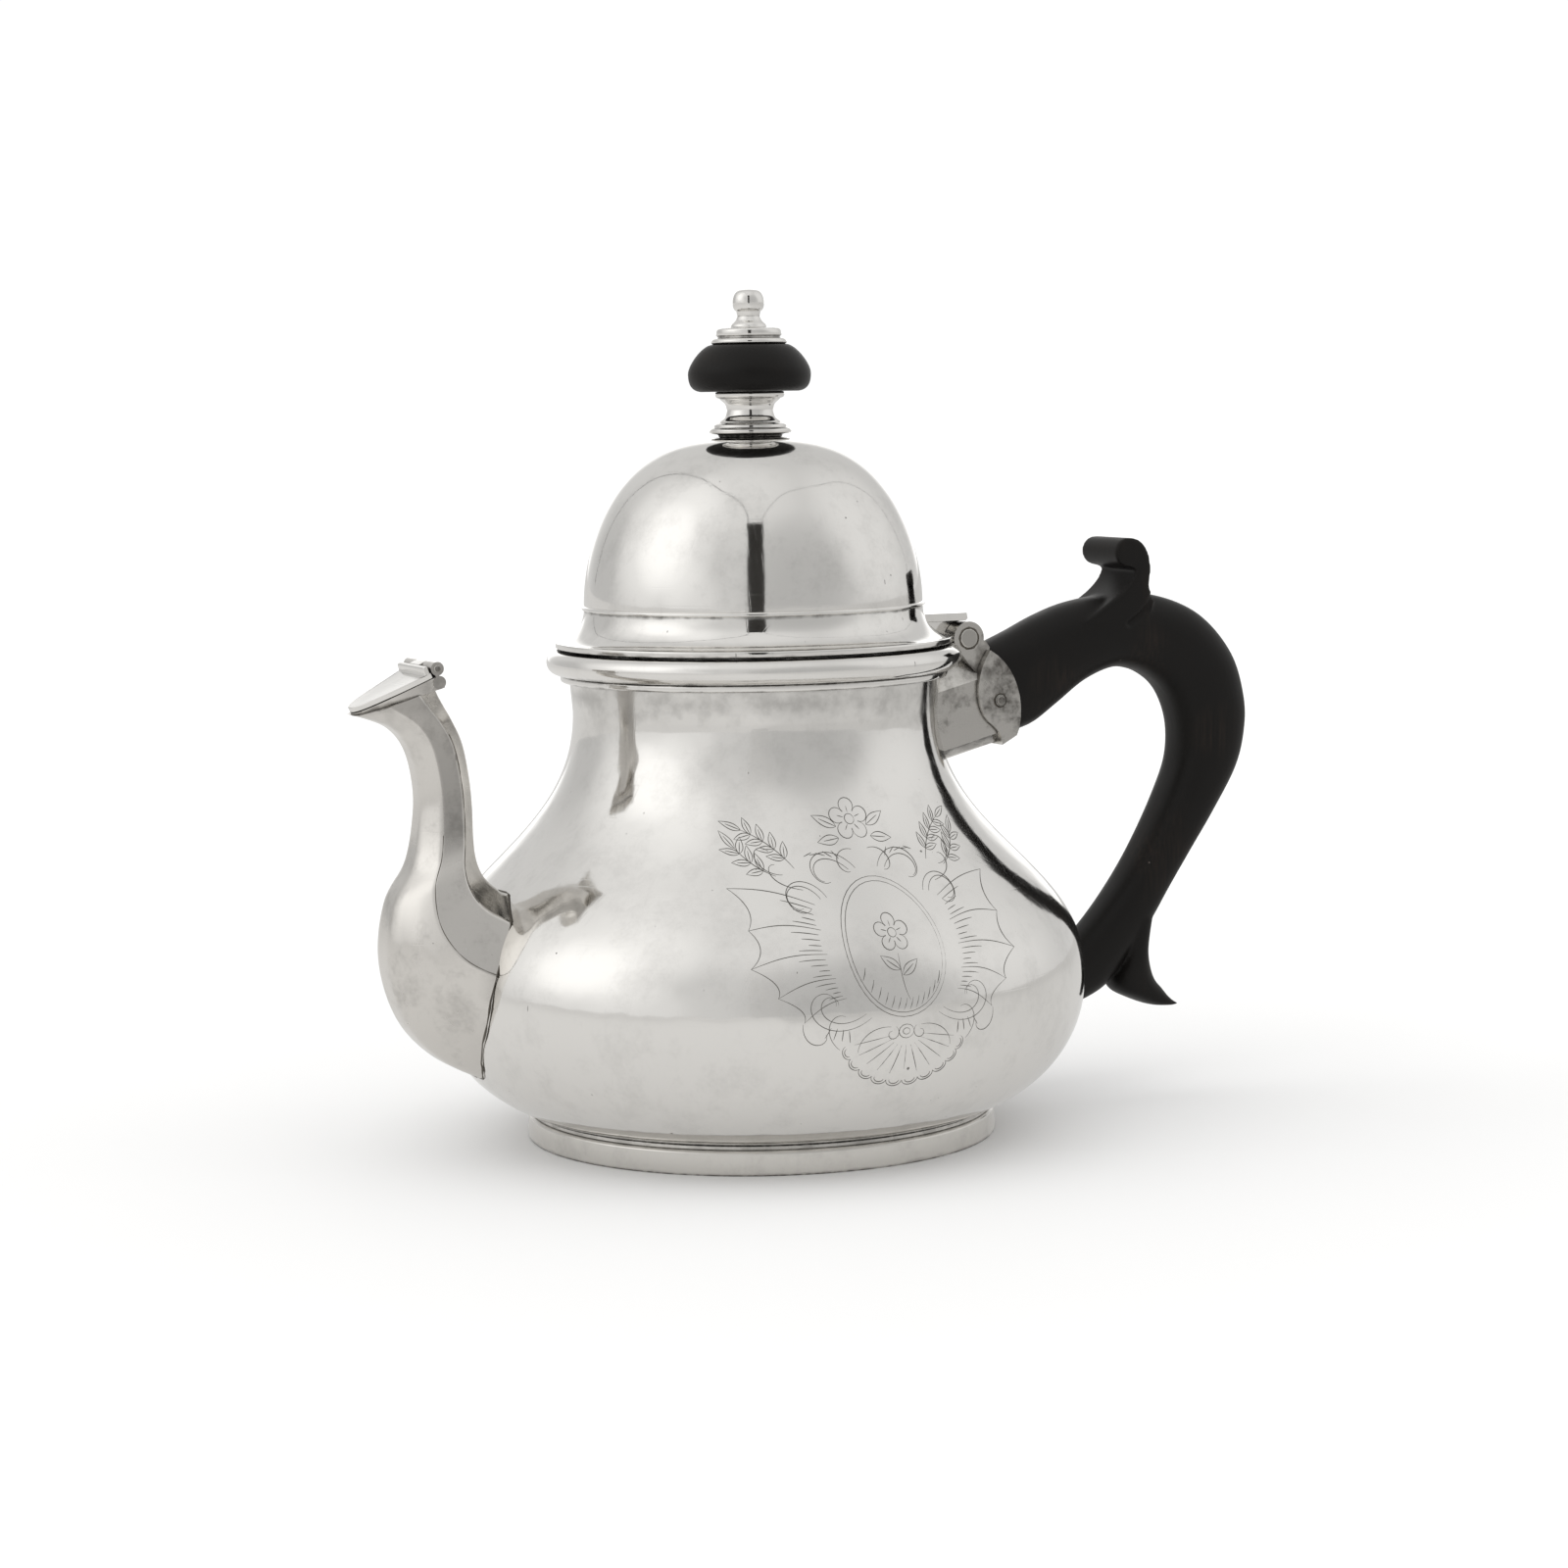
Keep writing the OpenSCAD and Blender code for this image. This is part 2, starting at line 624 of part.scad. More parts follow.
module finial_nut() {
    color(silver) difference() {
        translate([0, 0, nut_z]) cylinder(r = 3.4, h = nut_h);
        translate([0, 0, nut_z - cut]) cylinder(r = rod_r, h = nut_h + 2 * cut);
    }
}

body_shell();
foot_ring();
mouth_fillet();
mouth_bead();
spout_half_left();
spout_half_right();
spout_lip();
flap_hinge_lugs();
flap_hinge_pin();
spout_flap();
flap_knuckle();
handle_socket();
socket_collar();
socket_rivet();
handle();
handle_spigot();
spigot_pin();
lid_hinge_posts();
lid_hinge_pin();
lid_dome();
lid_bezel();
lid_hinge_leaf();
finial_base();
finial_disc();
finial_cap();
finial_rod();
finial_nut();
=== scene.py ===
import json
import math

import bpy
from mathutils import Matrix, Vector
from mathutils.bvhtree import BVHTree

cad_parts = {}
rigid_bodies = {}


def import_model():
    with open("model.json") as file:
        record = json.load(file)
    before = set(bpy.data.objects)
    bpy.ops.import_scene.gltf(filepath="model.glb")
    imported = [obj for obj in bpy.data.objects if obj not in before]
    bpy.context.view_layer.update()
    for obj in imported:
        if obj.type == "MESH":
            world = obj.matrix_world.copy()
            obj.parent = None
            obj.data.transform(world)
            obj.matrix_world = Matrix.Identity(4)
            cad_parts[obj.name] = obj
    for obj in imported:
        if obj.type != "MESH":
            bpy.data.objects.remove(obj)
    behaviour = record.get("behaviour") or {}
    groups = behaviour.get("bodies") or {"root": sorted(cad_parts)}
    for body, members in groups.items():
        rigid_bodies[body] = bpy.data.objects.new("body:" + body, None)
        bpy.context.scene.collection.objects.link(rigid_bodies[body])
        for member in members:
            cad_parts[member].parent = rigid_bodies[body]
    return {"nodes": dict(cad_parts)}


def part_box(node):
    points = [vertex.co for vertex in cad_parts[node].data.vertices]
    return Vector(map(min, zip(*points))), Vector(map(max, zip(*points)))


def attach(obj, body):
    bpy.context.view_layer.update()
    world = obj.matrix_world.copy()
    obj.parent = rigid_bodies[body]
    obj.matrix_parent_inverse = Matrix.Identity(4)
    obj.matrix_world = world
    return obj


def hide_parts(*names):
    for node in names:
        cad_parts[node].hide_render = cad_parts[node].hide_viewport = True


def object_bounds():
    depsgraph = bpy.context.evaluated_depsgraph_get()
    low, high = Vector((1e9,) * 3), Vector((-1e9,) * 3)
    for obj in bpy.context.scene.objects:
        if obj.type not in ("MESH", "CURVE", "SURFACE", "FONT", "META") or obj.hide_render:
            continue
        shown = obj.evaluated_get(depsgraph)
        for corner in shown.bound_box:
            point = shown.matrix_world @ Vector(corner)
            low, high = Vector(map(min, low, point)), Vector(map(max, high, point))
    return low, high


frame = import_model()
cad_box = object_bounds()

# ---------------------------------------------------------------------------------------
# The studio: a white floor, a pale tent of light all round with one strong and one weak
# soft box, and a camera a little above the pot, in front and to the spout's side.
# ---------------------------------------------------------------------------------------
MM = 0.001
CAMERA_AZIMUTH = math.radians(-25)
CAMERA_PITCH = math.radians(6.08)
CAMERA_ROLL = math.radians(0.9)
CAMERA_DISTANCE = 0.702
CAMERA_AIM = Vector((0, 0, 66.4)) * MM
CAMERA_SIDE_STEP = 5.3 * MM
CAMERA_LENS = 84.555
FLOOR_RADIUS = 40


def add_camera():
    """The camera looks along a level azimuth, tipped down, and is turned a little on its own axis."""
    right = Vector((math.cos(CAMERA_AZIMUTH), math.sin(CAMERA_AZIMUTH), 0))
    back = Vector((math.sin(CAMERA_AZIMUTH) * math.cos(CAMERA_PITCH),
                   -math.cos(CAMERA_AZIMUTH) * math.cos(CAMERA_PITCH),
                   math.sin(CAMERA_PITCH)))
    up = back.cross(right)
    place = CAMERA_AIM + right * CAMERA_SIDE_STEP + back * CAMERA_DISTANCE
    rolled_right = right * math.cos(CAMERA_ROLL) - up * math.sin(CAMERA_ROLL)
    rolled_up = right * math.sin(CAMERA_ROLL) + up * math.cos(CAMERA_ROLL)
    bpy.ops.object.camera_add()
    camera = bpy.context.object
    turn = Matrix((rolled_right, rolled_up, back)).transposed()
    camera.matrix_world = Matrix.Translation(place) @ turn.to_4x4()
    camera.data.lens = CAMERA_LENS
    camera.data.sensor_width = 36
    camera.data.clip_start = 0.01
    bpy.context.scene.camera = camera


def add_node(tree, kind, settings=None, inputs=None):
    """A shader node with its settings made, and with each input set or linked."""
    node = tree.nodes.new(kind)
    for name, value in (settings or {}).items():
        setattr(node, name, value)
    for name, value in (inputs or {}).items():
        if isinstance(value, bpy.types.NodeSocket):
            tree.links.new(value, node.inputs[name])
        else:
            node.inputs[name].default_value = value
    return node


def math_node(tree, operation, a, b=0.0, clamp=False):
    """The result of one sum on two numbers or sockets."""
    node = add_node(tree, "ShaderNodeMath", {"operation": operation, "use_clamp": clamp}, {0: a, 1: b})
    return node.outputs[0]


def ramp(tree, value, low, high, to_low=0.0, to_high=1.0):
    """A value taken smoothly from one range to another."""
    node = add_node(tree, "ShaderNodeMapRange", {"interpolation_type": "SMOOTHSTEP"},
                    {"Value": value, "From Min": low, "From Max": high,
                     "To Min": to_low, "To Max": to_high})
    return node.outputs["Result"]


def direction(azimuth, elevation):
    """A unit direction, its azimuth counted in degrees from the camera towards its right."""
    turn = CAMERA_AZIMUTH - math.pi / 2 + math.radians(azimuth)
    level = math.cos(math.radians(elevation))
    return (math.cos(turn) * level, math.sin(turn) * level, math.sin(math.radians(elevation)))


# Each glow: where its middle lies, how many degrees it reaches, and how much light it adds.
TENT_LIGHT = 0.69
TENT_WHITE = (1, 0.995, 0.985, 1)
GLOWS = [(-74, 33, 46, 0.30), (-70, 29, 26, 0.26), (103, 30, 42, 0.14), (-20, 68, 40, 0.12),
         (34, 6, 50, -0.17), (-42, 4, 24, 0.13), (-128, 5, 26, -0.12), (150, 38, 45, -0.05),
         (178, 4, 26, 0.50), (-178, 4, 26, 0.50)]


def tent_light(tree, way):
    """How bright the tent is in a direction: an even white with soft glows on it."""
    light = TENT_LIGHT
    for azimuth, elevation, reach, power in GLOWS:
        dot = add_node(tree, "ShaderNodeVectorMath", {"operation": "DOT_PRODUCT"},
                       {0: way, 1: direction(azimuth, elevation)})
        glow = ramp(tree, dot.outputs["Value"], math.cos(math.radians(reach)), 1.0, 0.0, power)
        light = math_node(tree, "ADD", light, glow)
    return light


def light_tent():
    """The walls of the tent all round, and plain white behind the pot as the camera sees it."""
    world = bpy.data.worlds.new("light_tent")
    bpy.context.scene.world = world
    world.use_nodes = True
    tree = world.node_tree
    tree.nodes.clear()
    light = tent_light(tree, add_node(tree, "ShaderNodeTexCoord").outputs["Generated"])
    seen = add_node(tree, "ShaderNodeLightPath").outputs["Is Camera Ray"]
    tent = add_node(tree, "ShaderNodeBackground", None, {"Color": TENT_WHITE, "Strength": light})
    white = add_node(tree, "ShaderNodeBackground", None, {"Color": (1, 1, 1, 1), "Strength": 1.05})
    mixed = add_node(tree, "ShaderNodeMixShader", None,
                     {"Fac": seen, 1: tent.outputs[0], 2: white.outputs[0]})
    add_node(tree, "ShaderNodeOutputWorld", None, {"Surface": mixed.outputs[0]})


def empty_material(name):
    """A material without any node, and its node tree."""
    material = bpy.data.materials.new(name)
    material.use_nodes = True
    material.node_tree.nodes.clear()
    return material, material.node_tree


def add_floor():
    """A wide white floor that the foot rests on. As the camera sees it, its colour is darker near the pot:
    a painted shadow. Where the silver mirrors it, it is a little greyer and glows as painted light, the
    glow dimmer on the camera's right as a painted shadow.
    """
    bpy.ops.mesh.primitive_circle_add(vertices=64, radius=FLOOR_RADIUS, fill_type="NGON",
                                      location=(0, 0, cad_box[0][2]))
    floor = bpy.context.object
    floor.name = "floor"
    material, tree = empty_material("white_floor")
    seen = add_node(tree, "ShaderNodeLightPath").outputs["Is Camera Ray"]
    place = add_node(tree, "ShaderNodeTexCoord").outputs["Object"]
    away = add_node(tree, "ShaderNodeVectorMath", {"operation": "LENGTH"}, {0: place}).outputs["Value"]
    sideways = add_node(tree, "ShaderNodeVectorMath", {"operation": "DOT_PRODUCT"},
                        {0: place, 1: direction(90, 0)}).outputs["Value"]
    # Painted shadow: the floor's colour is darker near the pot.
    near = add_node(tree, "ShaderNodeBsdfDiffuse", None,
                    {"Color": ramp(tree, away, 0.13, 0.42, 0.89, 0.97)})
    shaded = add_node(tree, "ShaderNodeBsdfDiffuse", None, {"Color": (0.36, 0.357, 0.352, 1)})
    # Painted light and shadow: the mirrored floor glows, more near the pot and less towards the camera's
    # right.
    strength = math_node(tree, "SUBTRACT", ramp(tree, away, 0.15, 0.9, 0.36, 0.28),
                         ramp(tree, sideways, 0.0, 0.2, 0.0, 0.09))
    even = add_node(tree, "ShaderNodeEmission", None,
                    {"Color": (1, 0.992, 0.98, 1), "Strength": strength})
    mirrored = add_node(tree, "ShaderNodeAddShader", None, {0: shaded.outputs[0], 1: even.outputs[0]})
    mixed = add_node(tree, "ShaderNodeMixShader", None,
                     {"Fac": seen, 1: mirrored.outputs[0], 2: near.outputs[0]})
    add_node(tree, "ShaderNodeOutputMaterial", None, {"Surface": mixed.outputs[0]})
    floor.data.materials.append(material)


def add_overhead_light():
    """Wide, soft light from above that lifts the floor to white and isn't mirrored in the silver."""
    way = Vector(direction(-50, 88))
    bpy.ops.object.light_add(type="SUN", rotation=way.to_track_quat("Z", "Y").to_euler())
    light = bpy.context.object
    light.name = "overhead_light"
    light.data.angle = math.radians(140)
    light.data.energy = 1.22
    light.visible_glossy = False


bpy.ops.object.select_all(action="DESELECT")
add_camera()
light_tent()
add_floor()
add_overhead_light()
bpy.context.scene.view_settings.view_transform = "Standard"
bpy.context.scene.view_settings.look = "None"

# ---------------------------------------------------------------------------------------
# The pot's body: one sheet of silver raised with the hammer into a pear shape, planished
# and polished, with a strainer of round holes pierced where the spout is soldered on.
# ---------------------------------------------------------------------------------------
pot_low, pot_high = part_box("body_shell")
BELLY_R = pot_high.y / MM
FOOT_TOP = pot_low.z / MM
MOUTH_TOP = pot_high.z / MM
FOOT_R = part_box("foot_ring")[1].x / MM
BEAD_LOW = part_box("mouth_bead")[0].z / MM
BELLY_Z = 29.5
NECK_R = 34.6
NECK_Z = 81
SHEET = 1
SHOULDER = (48.6, 54)
STRAINER_Z = 33
STRAINER_STEP = 4.2
STRAINER_HOLE_R = 1.4
TURNED_STEPS = 192
CURVE_STEPS = 22


def cubic(a, b, c, d, steps=CURVE_STEPS):
    """Points along a cubic curve that leaves a towards b and comes to d from c."""
    points = []
    for i in range(steps + 1):
        t = i / steps
        s = 1 - t
        points.append(tuple(s * s * s * p + 3 * s * s * t * q + 3 * s * t * t * r + t * t * t * w
                            for p, q, r, w in zip(a, b, c, d)))
    return points


def inset(points, depth):
    """An outline moved in towards the axis, for the inside of a sheet."""
    moved = []
    for i, point in enumerate(points):
        a = points[max(i - 1, 0)]
        b = points[min(i + 1, len(points) - 1)]
        run, rise = b[0] - a[0], b[1] - a[1]
        length = math.hypot(run, rise)
        moved.append((max(point[0] - depth * rise / length, 0), point[1] + depth * run / length))
    return moved


def eased(points, cut, steps=4):
    """The same outline with each corner cut back, all alike or each by its own cut, and rounded."""
    cuts = cut if isinstance(cut, list) else [cut] * len(points)
    rounded = [points[0]]
    for i in range(1, len(points) - 1):
        corner = Vector(points[i])
        before, after = Vector(points[i - 1]) - corner, Vector(points[i + 1]) - corner
        start = corner + before.normalized() * min(cuts[i], before.length * 0.48)
        end = corner + after.normalized() * min(cuts[i], after.length * 0.48)
        for k in range(steps + 1):
            t = k / steps
            rounded.append(tuple(start * (1 - t) ** 2 + corner * 2 * t * (1 - t) + end * t * t))
    return rounded + [points[-1]]


def drawn_out(name, outline, y=0):
    """An outline in the X-Z plane, in millimetres, drawn point by point and left in edit mode."""
    start = (outline[0][0] * MM, y * MM, outline[0][1] * MM)
    bpy.ops.object.select_all(action="DESELECT")
    bpy.ops.mesh.primitive_plane_add(size=MM, location=start)
    piece = bpy.context.object
    piece.name = name
    bpy.ops.object.transform_apply(location=True, rotation=True, scale=True)
    bpy.ops.object.mode_set(mode="EDIT")
    bpy.ops.mesh.merge(type="CENTER")
    for (x0, z0), (x1, z1) in zip(outline, outline[1:]):
        step = ((x1 - x0) * MM, 0, (z1 - z0) * MM)
        bpy.ops.mesh.extrude_vertices_move(TRANSFORM_OT_translate={"value": step})
    bpy.ops.mesh.select_all(action="SELECT")
    return piece


def turned(name, outline, steps=TURNED_STEPS):
    """A piece turned on the lathe: its outline of radius and height, spun about Z."""
    piece = drawn_out(name, outline)
    bpy.ops.mesh.spin(steps=steps, angle=2 * math.pi, center=(0, 0, 0), axis=(0, 0, 1))
    close_up(piece)
    return piece


def close_up(piece, sharp=35):
    """Merges what meets, turns the faces outwards and shades the piece smooth up to a corner."""
    bpy.ops.mesh.select_all(action="SELECT")
    bpy.ops.mesh.remove_doubles(threshold=0.002 * MM)
    bpy.ops.mesh.normals_make_consistent(inside=False)
    bpy.ops.object.mode_set(mode="OBJECT")
    bpy.ops.object.shade_smooth_by_angle(angle=math.radians(sharp))


def apply_modifier(piece, kind, **settings):
    """Adds a modifier to the piece and applies it at once."""
    bpy.context.view_layer.objects.active = piece
    modifier = piece.modifiers.new(kind.lower(), kind)
    for setting, value in settings.items():
        setattr(modifier, setting, value)
    bpy.ops.object.modifier_apply(modifier=modifier.name)


lid_pieces = []


def fit(piece, material, slot, body, *nodes):
    """Gives a piece its finish and puts it on its body in the place of the CAD nodes."""
    if body == "lid":
        lid_pieces.append(piece)
    piece.data.materials.clear()
    piece.data.materials.append(material)
    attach(piece, body)
    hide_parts(*nodes)
    return piece


def new_group(name, inputs, outputs):
    """An empty shader node group with named number inputs and number outputs."""
    group = bpy.data.node_groups.new(name, "ShaderNodeTree")
    for label, value in inputs.items():
        socket = group.interface.new_socket(name=label, in_out="INPUT", socket_type="NodeSocketFloat")
        socket.default_value = value
    for label in outputs:
        group.interface.new_socket(name=label, in_out="OUTPUT", socket_type="NodeSocketFloat")
    return group, group.nodes.new("NodeGroupInput"), group.nodes.new("NodeGroupOutput")


def stretched(tree, place, turn, scale):
    """A material's coordinates turned and stretched, for marks that run one way."""
    return add_node(tree, "ShaderNodeMapping", None,
                    {"Vector": place, "Rotation": turn, "Scale": scale}).outputs["Vector"]


def hand_polish():
    """Hammer marks polished nearly flat, and the fine scratches of many years of cleaning."""
    group, given, out = new_group("hand_polish", {"Hammer": 1.0, "Scratches": 1.0}, ["Height", "Haze"])
    place = add_node(group, "ShaderNodeTexCoord").outputs["Object"]
    marks = add_node(group, "ShaderNodeTexNoise", None,
                     {"Vector": place, "Scale": 75, "Detail": 2.2, "Roughness": 0.5}).outputs["Fac"]
    height = math_node(group, "MULTIPLY", marks, given.outputs["Hammer"])
    scratches = 0.0
    for turn, scale in (((0.5, 0.3, 0.2), (2600, 70, 150)), ((-0.6, 0.2, 1.2), (90, 3000, 120)),
                        ((0.1, 0.9, -0.7), (80, 110, 2800))):
        lines = add_node(group, "ShaderNodeTexNoise", None,
                         {"Vector": stretched(group, place, turn, scale), "Scale": 1.0, "Detail": 2.0})
        scratches = math_node(group, "ADD", scratches, ramp(group, lines.outputs["Fac"], 0.60, 0.78))
    strength = math_node(group, "MULTIPLY", scratches, given.outputs["Scratches"])
    fine = math_node(group, "MULTIPLY", strength, -0.05)
    group.links.new(math_node(group, "ADD", height, fine), out.inputs["Height"])
    group.links.new(strength, out.inputs["Haze"])
    return group


def pits():
    """Small dark pits, a few in each square centimetre, each of its own size."""
    group, given, out = new_group("pits", {"Spread": 1.0, "Chance": 0.2, "Size": 0.1}, ["Mask"])
    place = add_node(group, "ShaderNodeTexCoord").outputs["Object"]
    scale = math_node(group, "DIVIDE", 1000, given.outputs["Spread"])
    cells = add_node(group, "ShaderNodeTexVoronoi", None, {"Vector": place, "Scale": scale})
    chosen = add_node(group, "ShaderNodeSeparateColor", None, {"Color": cells.outputs["Color"]})
    picked = math_node(group, "LESS_THAN", chosen.outputs["Red"], given.outputs["Chance"])
    size = math_node(group, "MULTIPLY", given.outputs["Size"],
                     math_node(group, "ADD", chosen.outputs["Green"], 0.3))
    near = math_node(group, "SUBTRACT", size, cells.outputs["Distance"])
    dot = math_node(group, "MULTIPLY", near, 60, clamp=True)
    group.links.new(math_node(group, "MULTIPLY", dot, picked), out.inputs["Mask"])
    return group


def joint_tarnish_and_shade():
    """A grey-brown band in and beside a joint at one height, broken up by rubbing: tarnished silver at most
    joints, painted shade under the bead on the socket.
    """
    group, given, out = new_group("joint_tarnish_and_shade", {"Joint": 0.0, "Reach": 2.0, "Patches": 0.5}, ["Mask"])
    place = add_node(group, "ShaderNodeTexCoord").outputs["Object"]
    height = add_node(group, "ShaderNodeSeparateXYZ", None, {"Vector": place}).outputs["Z"]
    above = math_node(group, "SUBTRACT", math_node(group, "MULTIPLY", height, 1000),
                      given.outputs["Joint"])
    away = math_node(group, "ABSOLUTE", above)
    patch = add_node(group, "ShaderNodeTexNoise", None,
                     {"Vector": place, "Scale": 240, "Detail": 4.0, "Roughness": 0.6}).outputs["Fac"]
    wide = add_node(group, "ShaderNodeTexNoise", None,
                    {"Vector": place, "Scale": 60, "Detail": 2.0}).outputs["Fac"]
    broken = math_node(group, "ADD", patch, math_node(group, "MULTIPLY", wide, 1.4))
    reach = math_node(group, "MULTIPLY", given.outputs["Reach"], ramp(group, broken, 0.8, 1.6, 0.25, 1.6))
    close = math_node(group, "SUBTRACT", 1.0, math_node(group, "DIVIDE", away, reach), clamp=True)
    eaten = ramp(group, patch, 0.35, 0.7, 0.3, 1.0)
    mask = math_node(group, "MULTIPLY", close, eaten)
    mask = math_node(group, "MULTIPLY", mask, given.outputs["Patches"])
    group.links.new(mask, out.inputs["Mask"])
    return group


def nicks():
    """Short straight dents and scratches, each along one of three directions."""
    group, given, out = new_group("nicks", {"Chance": 0.1, "Size": 0.05}, ["Mask"])
    place = add_node(group, "ShaderNodeTexCoord").outputs["Object"]
    mask = 0.0
    for turn in ((0.4, 0.2, 0.9), (-0.7, 0.5, -0.4), (0.1, -1.1, 0.3)):
        cells = add_node(group, "ShaderNodeTexVoronoi", None,
                         {"Vector": stretched(group, place, turn, (520, 520, 62)), "Scale": 1.0})
        chosen = add_node(group, "ShaderNodeSeparateColor", None, {"Color": cells.outputs["Color"]})
        picked = math_node(group, "LESS_THAN", chosen.outputs["Red"], given.outputs["Chance"])
        near = math_node(group, "SUBTRACT", given.outputs["Size"], cells.outputs["Distance"])
        dash = math_node(group, "MULTIPLY", math_node(group, "MULTIPLY", near, 60, clamp=True), picked)
        mask = math_node(group, "MAXIMUM", mask, dash)
    group.links.new(mask, out.inputs["Mask"])
    return group


def corner_shade_and_stains():
    """Painted shade in corners and joints, darker where the ambient occlusion finds them closed in, and
    cloudy stains that the polishing cloth has left.
    """
    group, given, out = new_group("corner_shade_and_stains", {"Reach": 1.2, "Corners": 0.8, "Stains": 0.1}, ["Mask"])
    place = add_node(group, "ShaderNodeTexCoord").outputs["Object"]
    open_to = add_node(group, "ShaderNodeAmbientOcclusion", {"samples": 8}, {
        "Distance": math_node(group, "MULTIPLY", given.outputs["Reach"], MM)}).outputs["AO"]
    fine = add_node(group, "ShaderNodeTexNoise", None,
                    {"Vector": place, "Scale": 900, "Detail": 3.0, "Roughness": 0.65}).outputs["Fac"]
    wide = add_node(group, "ShaderNodeTexNoise", None,
                    {"Vector": place, "Scale": 110, "Detail": 5.0, "Roughness": 0.7}).outputs["Fac"]
    # Painted shade: corners darkened where the occlusion is low, broken up by noise.
    corner = math_node(group, "MULTIPLY", ramp(group, open_to, 0.74, 0.36),
                       ramp(group, math_node(group, "ADD", fine, wide), 0.7, 1.15, 0.35, 1.0))
    corner = math_node(group, "MULTIPLY", corner, given.outputs["Corners"])
    stain = math_node(group, "MULTIPLY", ramp(group, wide, 0.46, 0.66),
                      ramp(group, fine, 0.3, 0.7, 0.5, 1.0))
    stain = math_node(group, "MULTIPLY", stain, given.outputs["Stains"])
    group.links.new(math_node(group, "MAXIMUM", corner, stain), out.inputs["Mask"])
    return group


HAND_POLISH = hand_polish()
PITS = pits()
JOINT_TARNISH_AND_SHADE = joint_tarnish_and_shade()
NICKS = nicks()
CORNER_SHADE_AND_STAINS = corner_shade_and_stains()
SILVER_COLOUR = (0.835, 0.822, 0.797, 1)
OXIDE_COLOUR = (0.05, 0.044, 0.037, 1)
PIT_DEPTH = 0.06 * MM
HAMMER_DEPTH = 0.05 * MM


def placed(tree, group, **inputs):
    """A node group set down in a material, with that material's own values."""
    return add_node(tree, "ShaderNodeGroup", {"node_tree": group}, inputs)


def silver(name, colour=SILVER_COLOUR, roughness=0.07, hammer=1.0, scratches=1.0, pit_spread=9.0,
           pit_chance=0.18, pit_size=0.03, nick=0.06, corners=0.95, stains=0.06, flats=0.0, joints=()):
    """Polished silver, darkened by pits, nicks and stains, and by painted shade in its corners and, where
    flats is set, on faces turned to either side. Each joint is its height, the reach of its band and its
    strength: a tarnished band, and on the socket painted shade under the bead.
    """
    material = bpy.data.materials.new(name)
    material.use_nodes = True
    tree = material.node_tree
    shader = tree.nodes["Principled BSDF"]
    polish = placed(tree, HAND_POLISH, Hammer=hammer, Scratches=scratches)
    spots = placed(tree, PITS, Spread=pit_spread, Chance=pit_chance, Size=pit_size).outputs["Mask"]
    dents = placed(tree, NICKS, Chance=nick, Size=0.05).outputs["Mask"]
    spots = math_node(tree, "MAXIMUM", spots, dents)
    # Painted shade in corners, with cloudy stains.
    shade_and_stains = placed(tree, CORNER_SHADE_AND_STAINS, Reach=1.2, Corners=corners, Stains=stains).outputs["Mask"]
    dirt_and_shade = math_node(tree, "MAXIMUM", math_node(tree, "MULTIPLY", spots, 0.75), shade_and_stains)
    # Painted shade: faces turned straight to either side are darkened by flats.
    if flats:
        facing = add_node(tree, "ShaderNodeSeparateXYZ", None,
                          {"Vector": add_node(tree, "ShaderNodeTexCoord").outputs["Normal"]}).outputs["Y"]
        flat = ramp(tree, math_node(tree, "ABSOLUTE", facing), 0.93, 0.995, 0.0, flats)
        dirt_and_shade = math_node(tree, "ADD", dirt_and_shade, flat)
    for height, reach, strength in joints:
        near = placed(tree, JOINT_TARNISH_AND_SHADE, Joint=height, Reach=reach, Patches=strength).outputs["Mask"]
        dirt_and_shade = math_node(tree, "MAXIMUM", dirt_and_shade, near)
    dirt_and_shade = math_node(tree, "MINIMUM", dirt_and_shade, 0.96)
    colour_mix = add_node(tree, "ShaderNodeMix", {"data_type": "RGBA"}, {"Factor": dirt_and_shade})
    colour_mix.inputs[6].default_value = colour
    colour_mix.inputs[7].default_value = OXIDE_COLOUR
    tree.links.new(colour_mix.outputs[2], shader.inputs["Base Color"])
    shader.inputs["Metallic"].default_value = 1.0
    rough = math_node(tree, "ADD", roughness, math_node(tree, "MULTIPLY", polish.outputs["Haze"], 0.05))
    rough = math_node(tree, "ADD", rough, math_node(tree, "MULTIPLY", dirt_and_shade, 0.35))
    tree.links.new(rough, shader.inputs["Roughness"])
    relief = add_node(tree, "ShaderNodeBump", None,
                      {"Height": polish.outputs["Height"], "Distance": HAMMER_DEPTH, "Strength": 1.0})
    sunk = add_node(tree, "ShaderNodeBump", {"invert": True},
                    {"Height": spots, "Distance": PIT_DEPTH, "Strength": 1.0,
                     "Normal": relief.outputs["Normal"]})
    tree.links.new(sunk.outputs["Normal"], shader.inputs["Normal"])
    return material


body_outline = (cubic((FOOT_R - 1, FOOT_TOP), (55.3, 9.4), (BELLY_R, 18.5), (BELLY_R, BELLY_Z))[:-1]
                + cubic((BELLY_R, BELLY_Z), (BELLY_R, 40), (57.6, 45), SHOULDER)[:-1]
                + cubic(SHOULDER, (41.2, 61.4), (NECK_R, 69), (NECK_R, NECK_Z)))
neck_top = [(NECK_R + 0.6, BEAD_LOW), (NECK_R + 0.6, MOUTH_TOP)]
inner_neck = [(r - SHEET, z) for r, z in reversed(neck_top)]
inner_body = list(reversed(inset(body_outline, SHEET)))[:-1]
pot_body = turned("pot_body", [(0, FOOT_TOP + 1)] + body_outline + neck_top + inner_neck
                  + inner_body + [(0, FOOT_TOP + 1 + SHEET)])


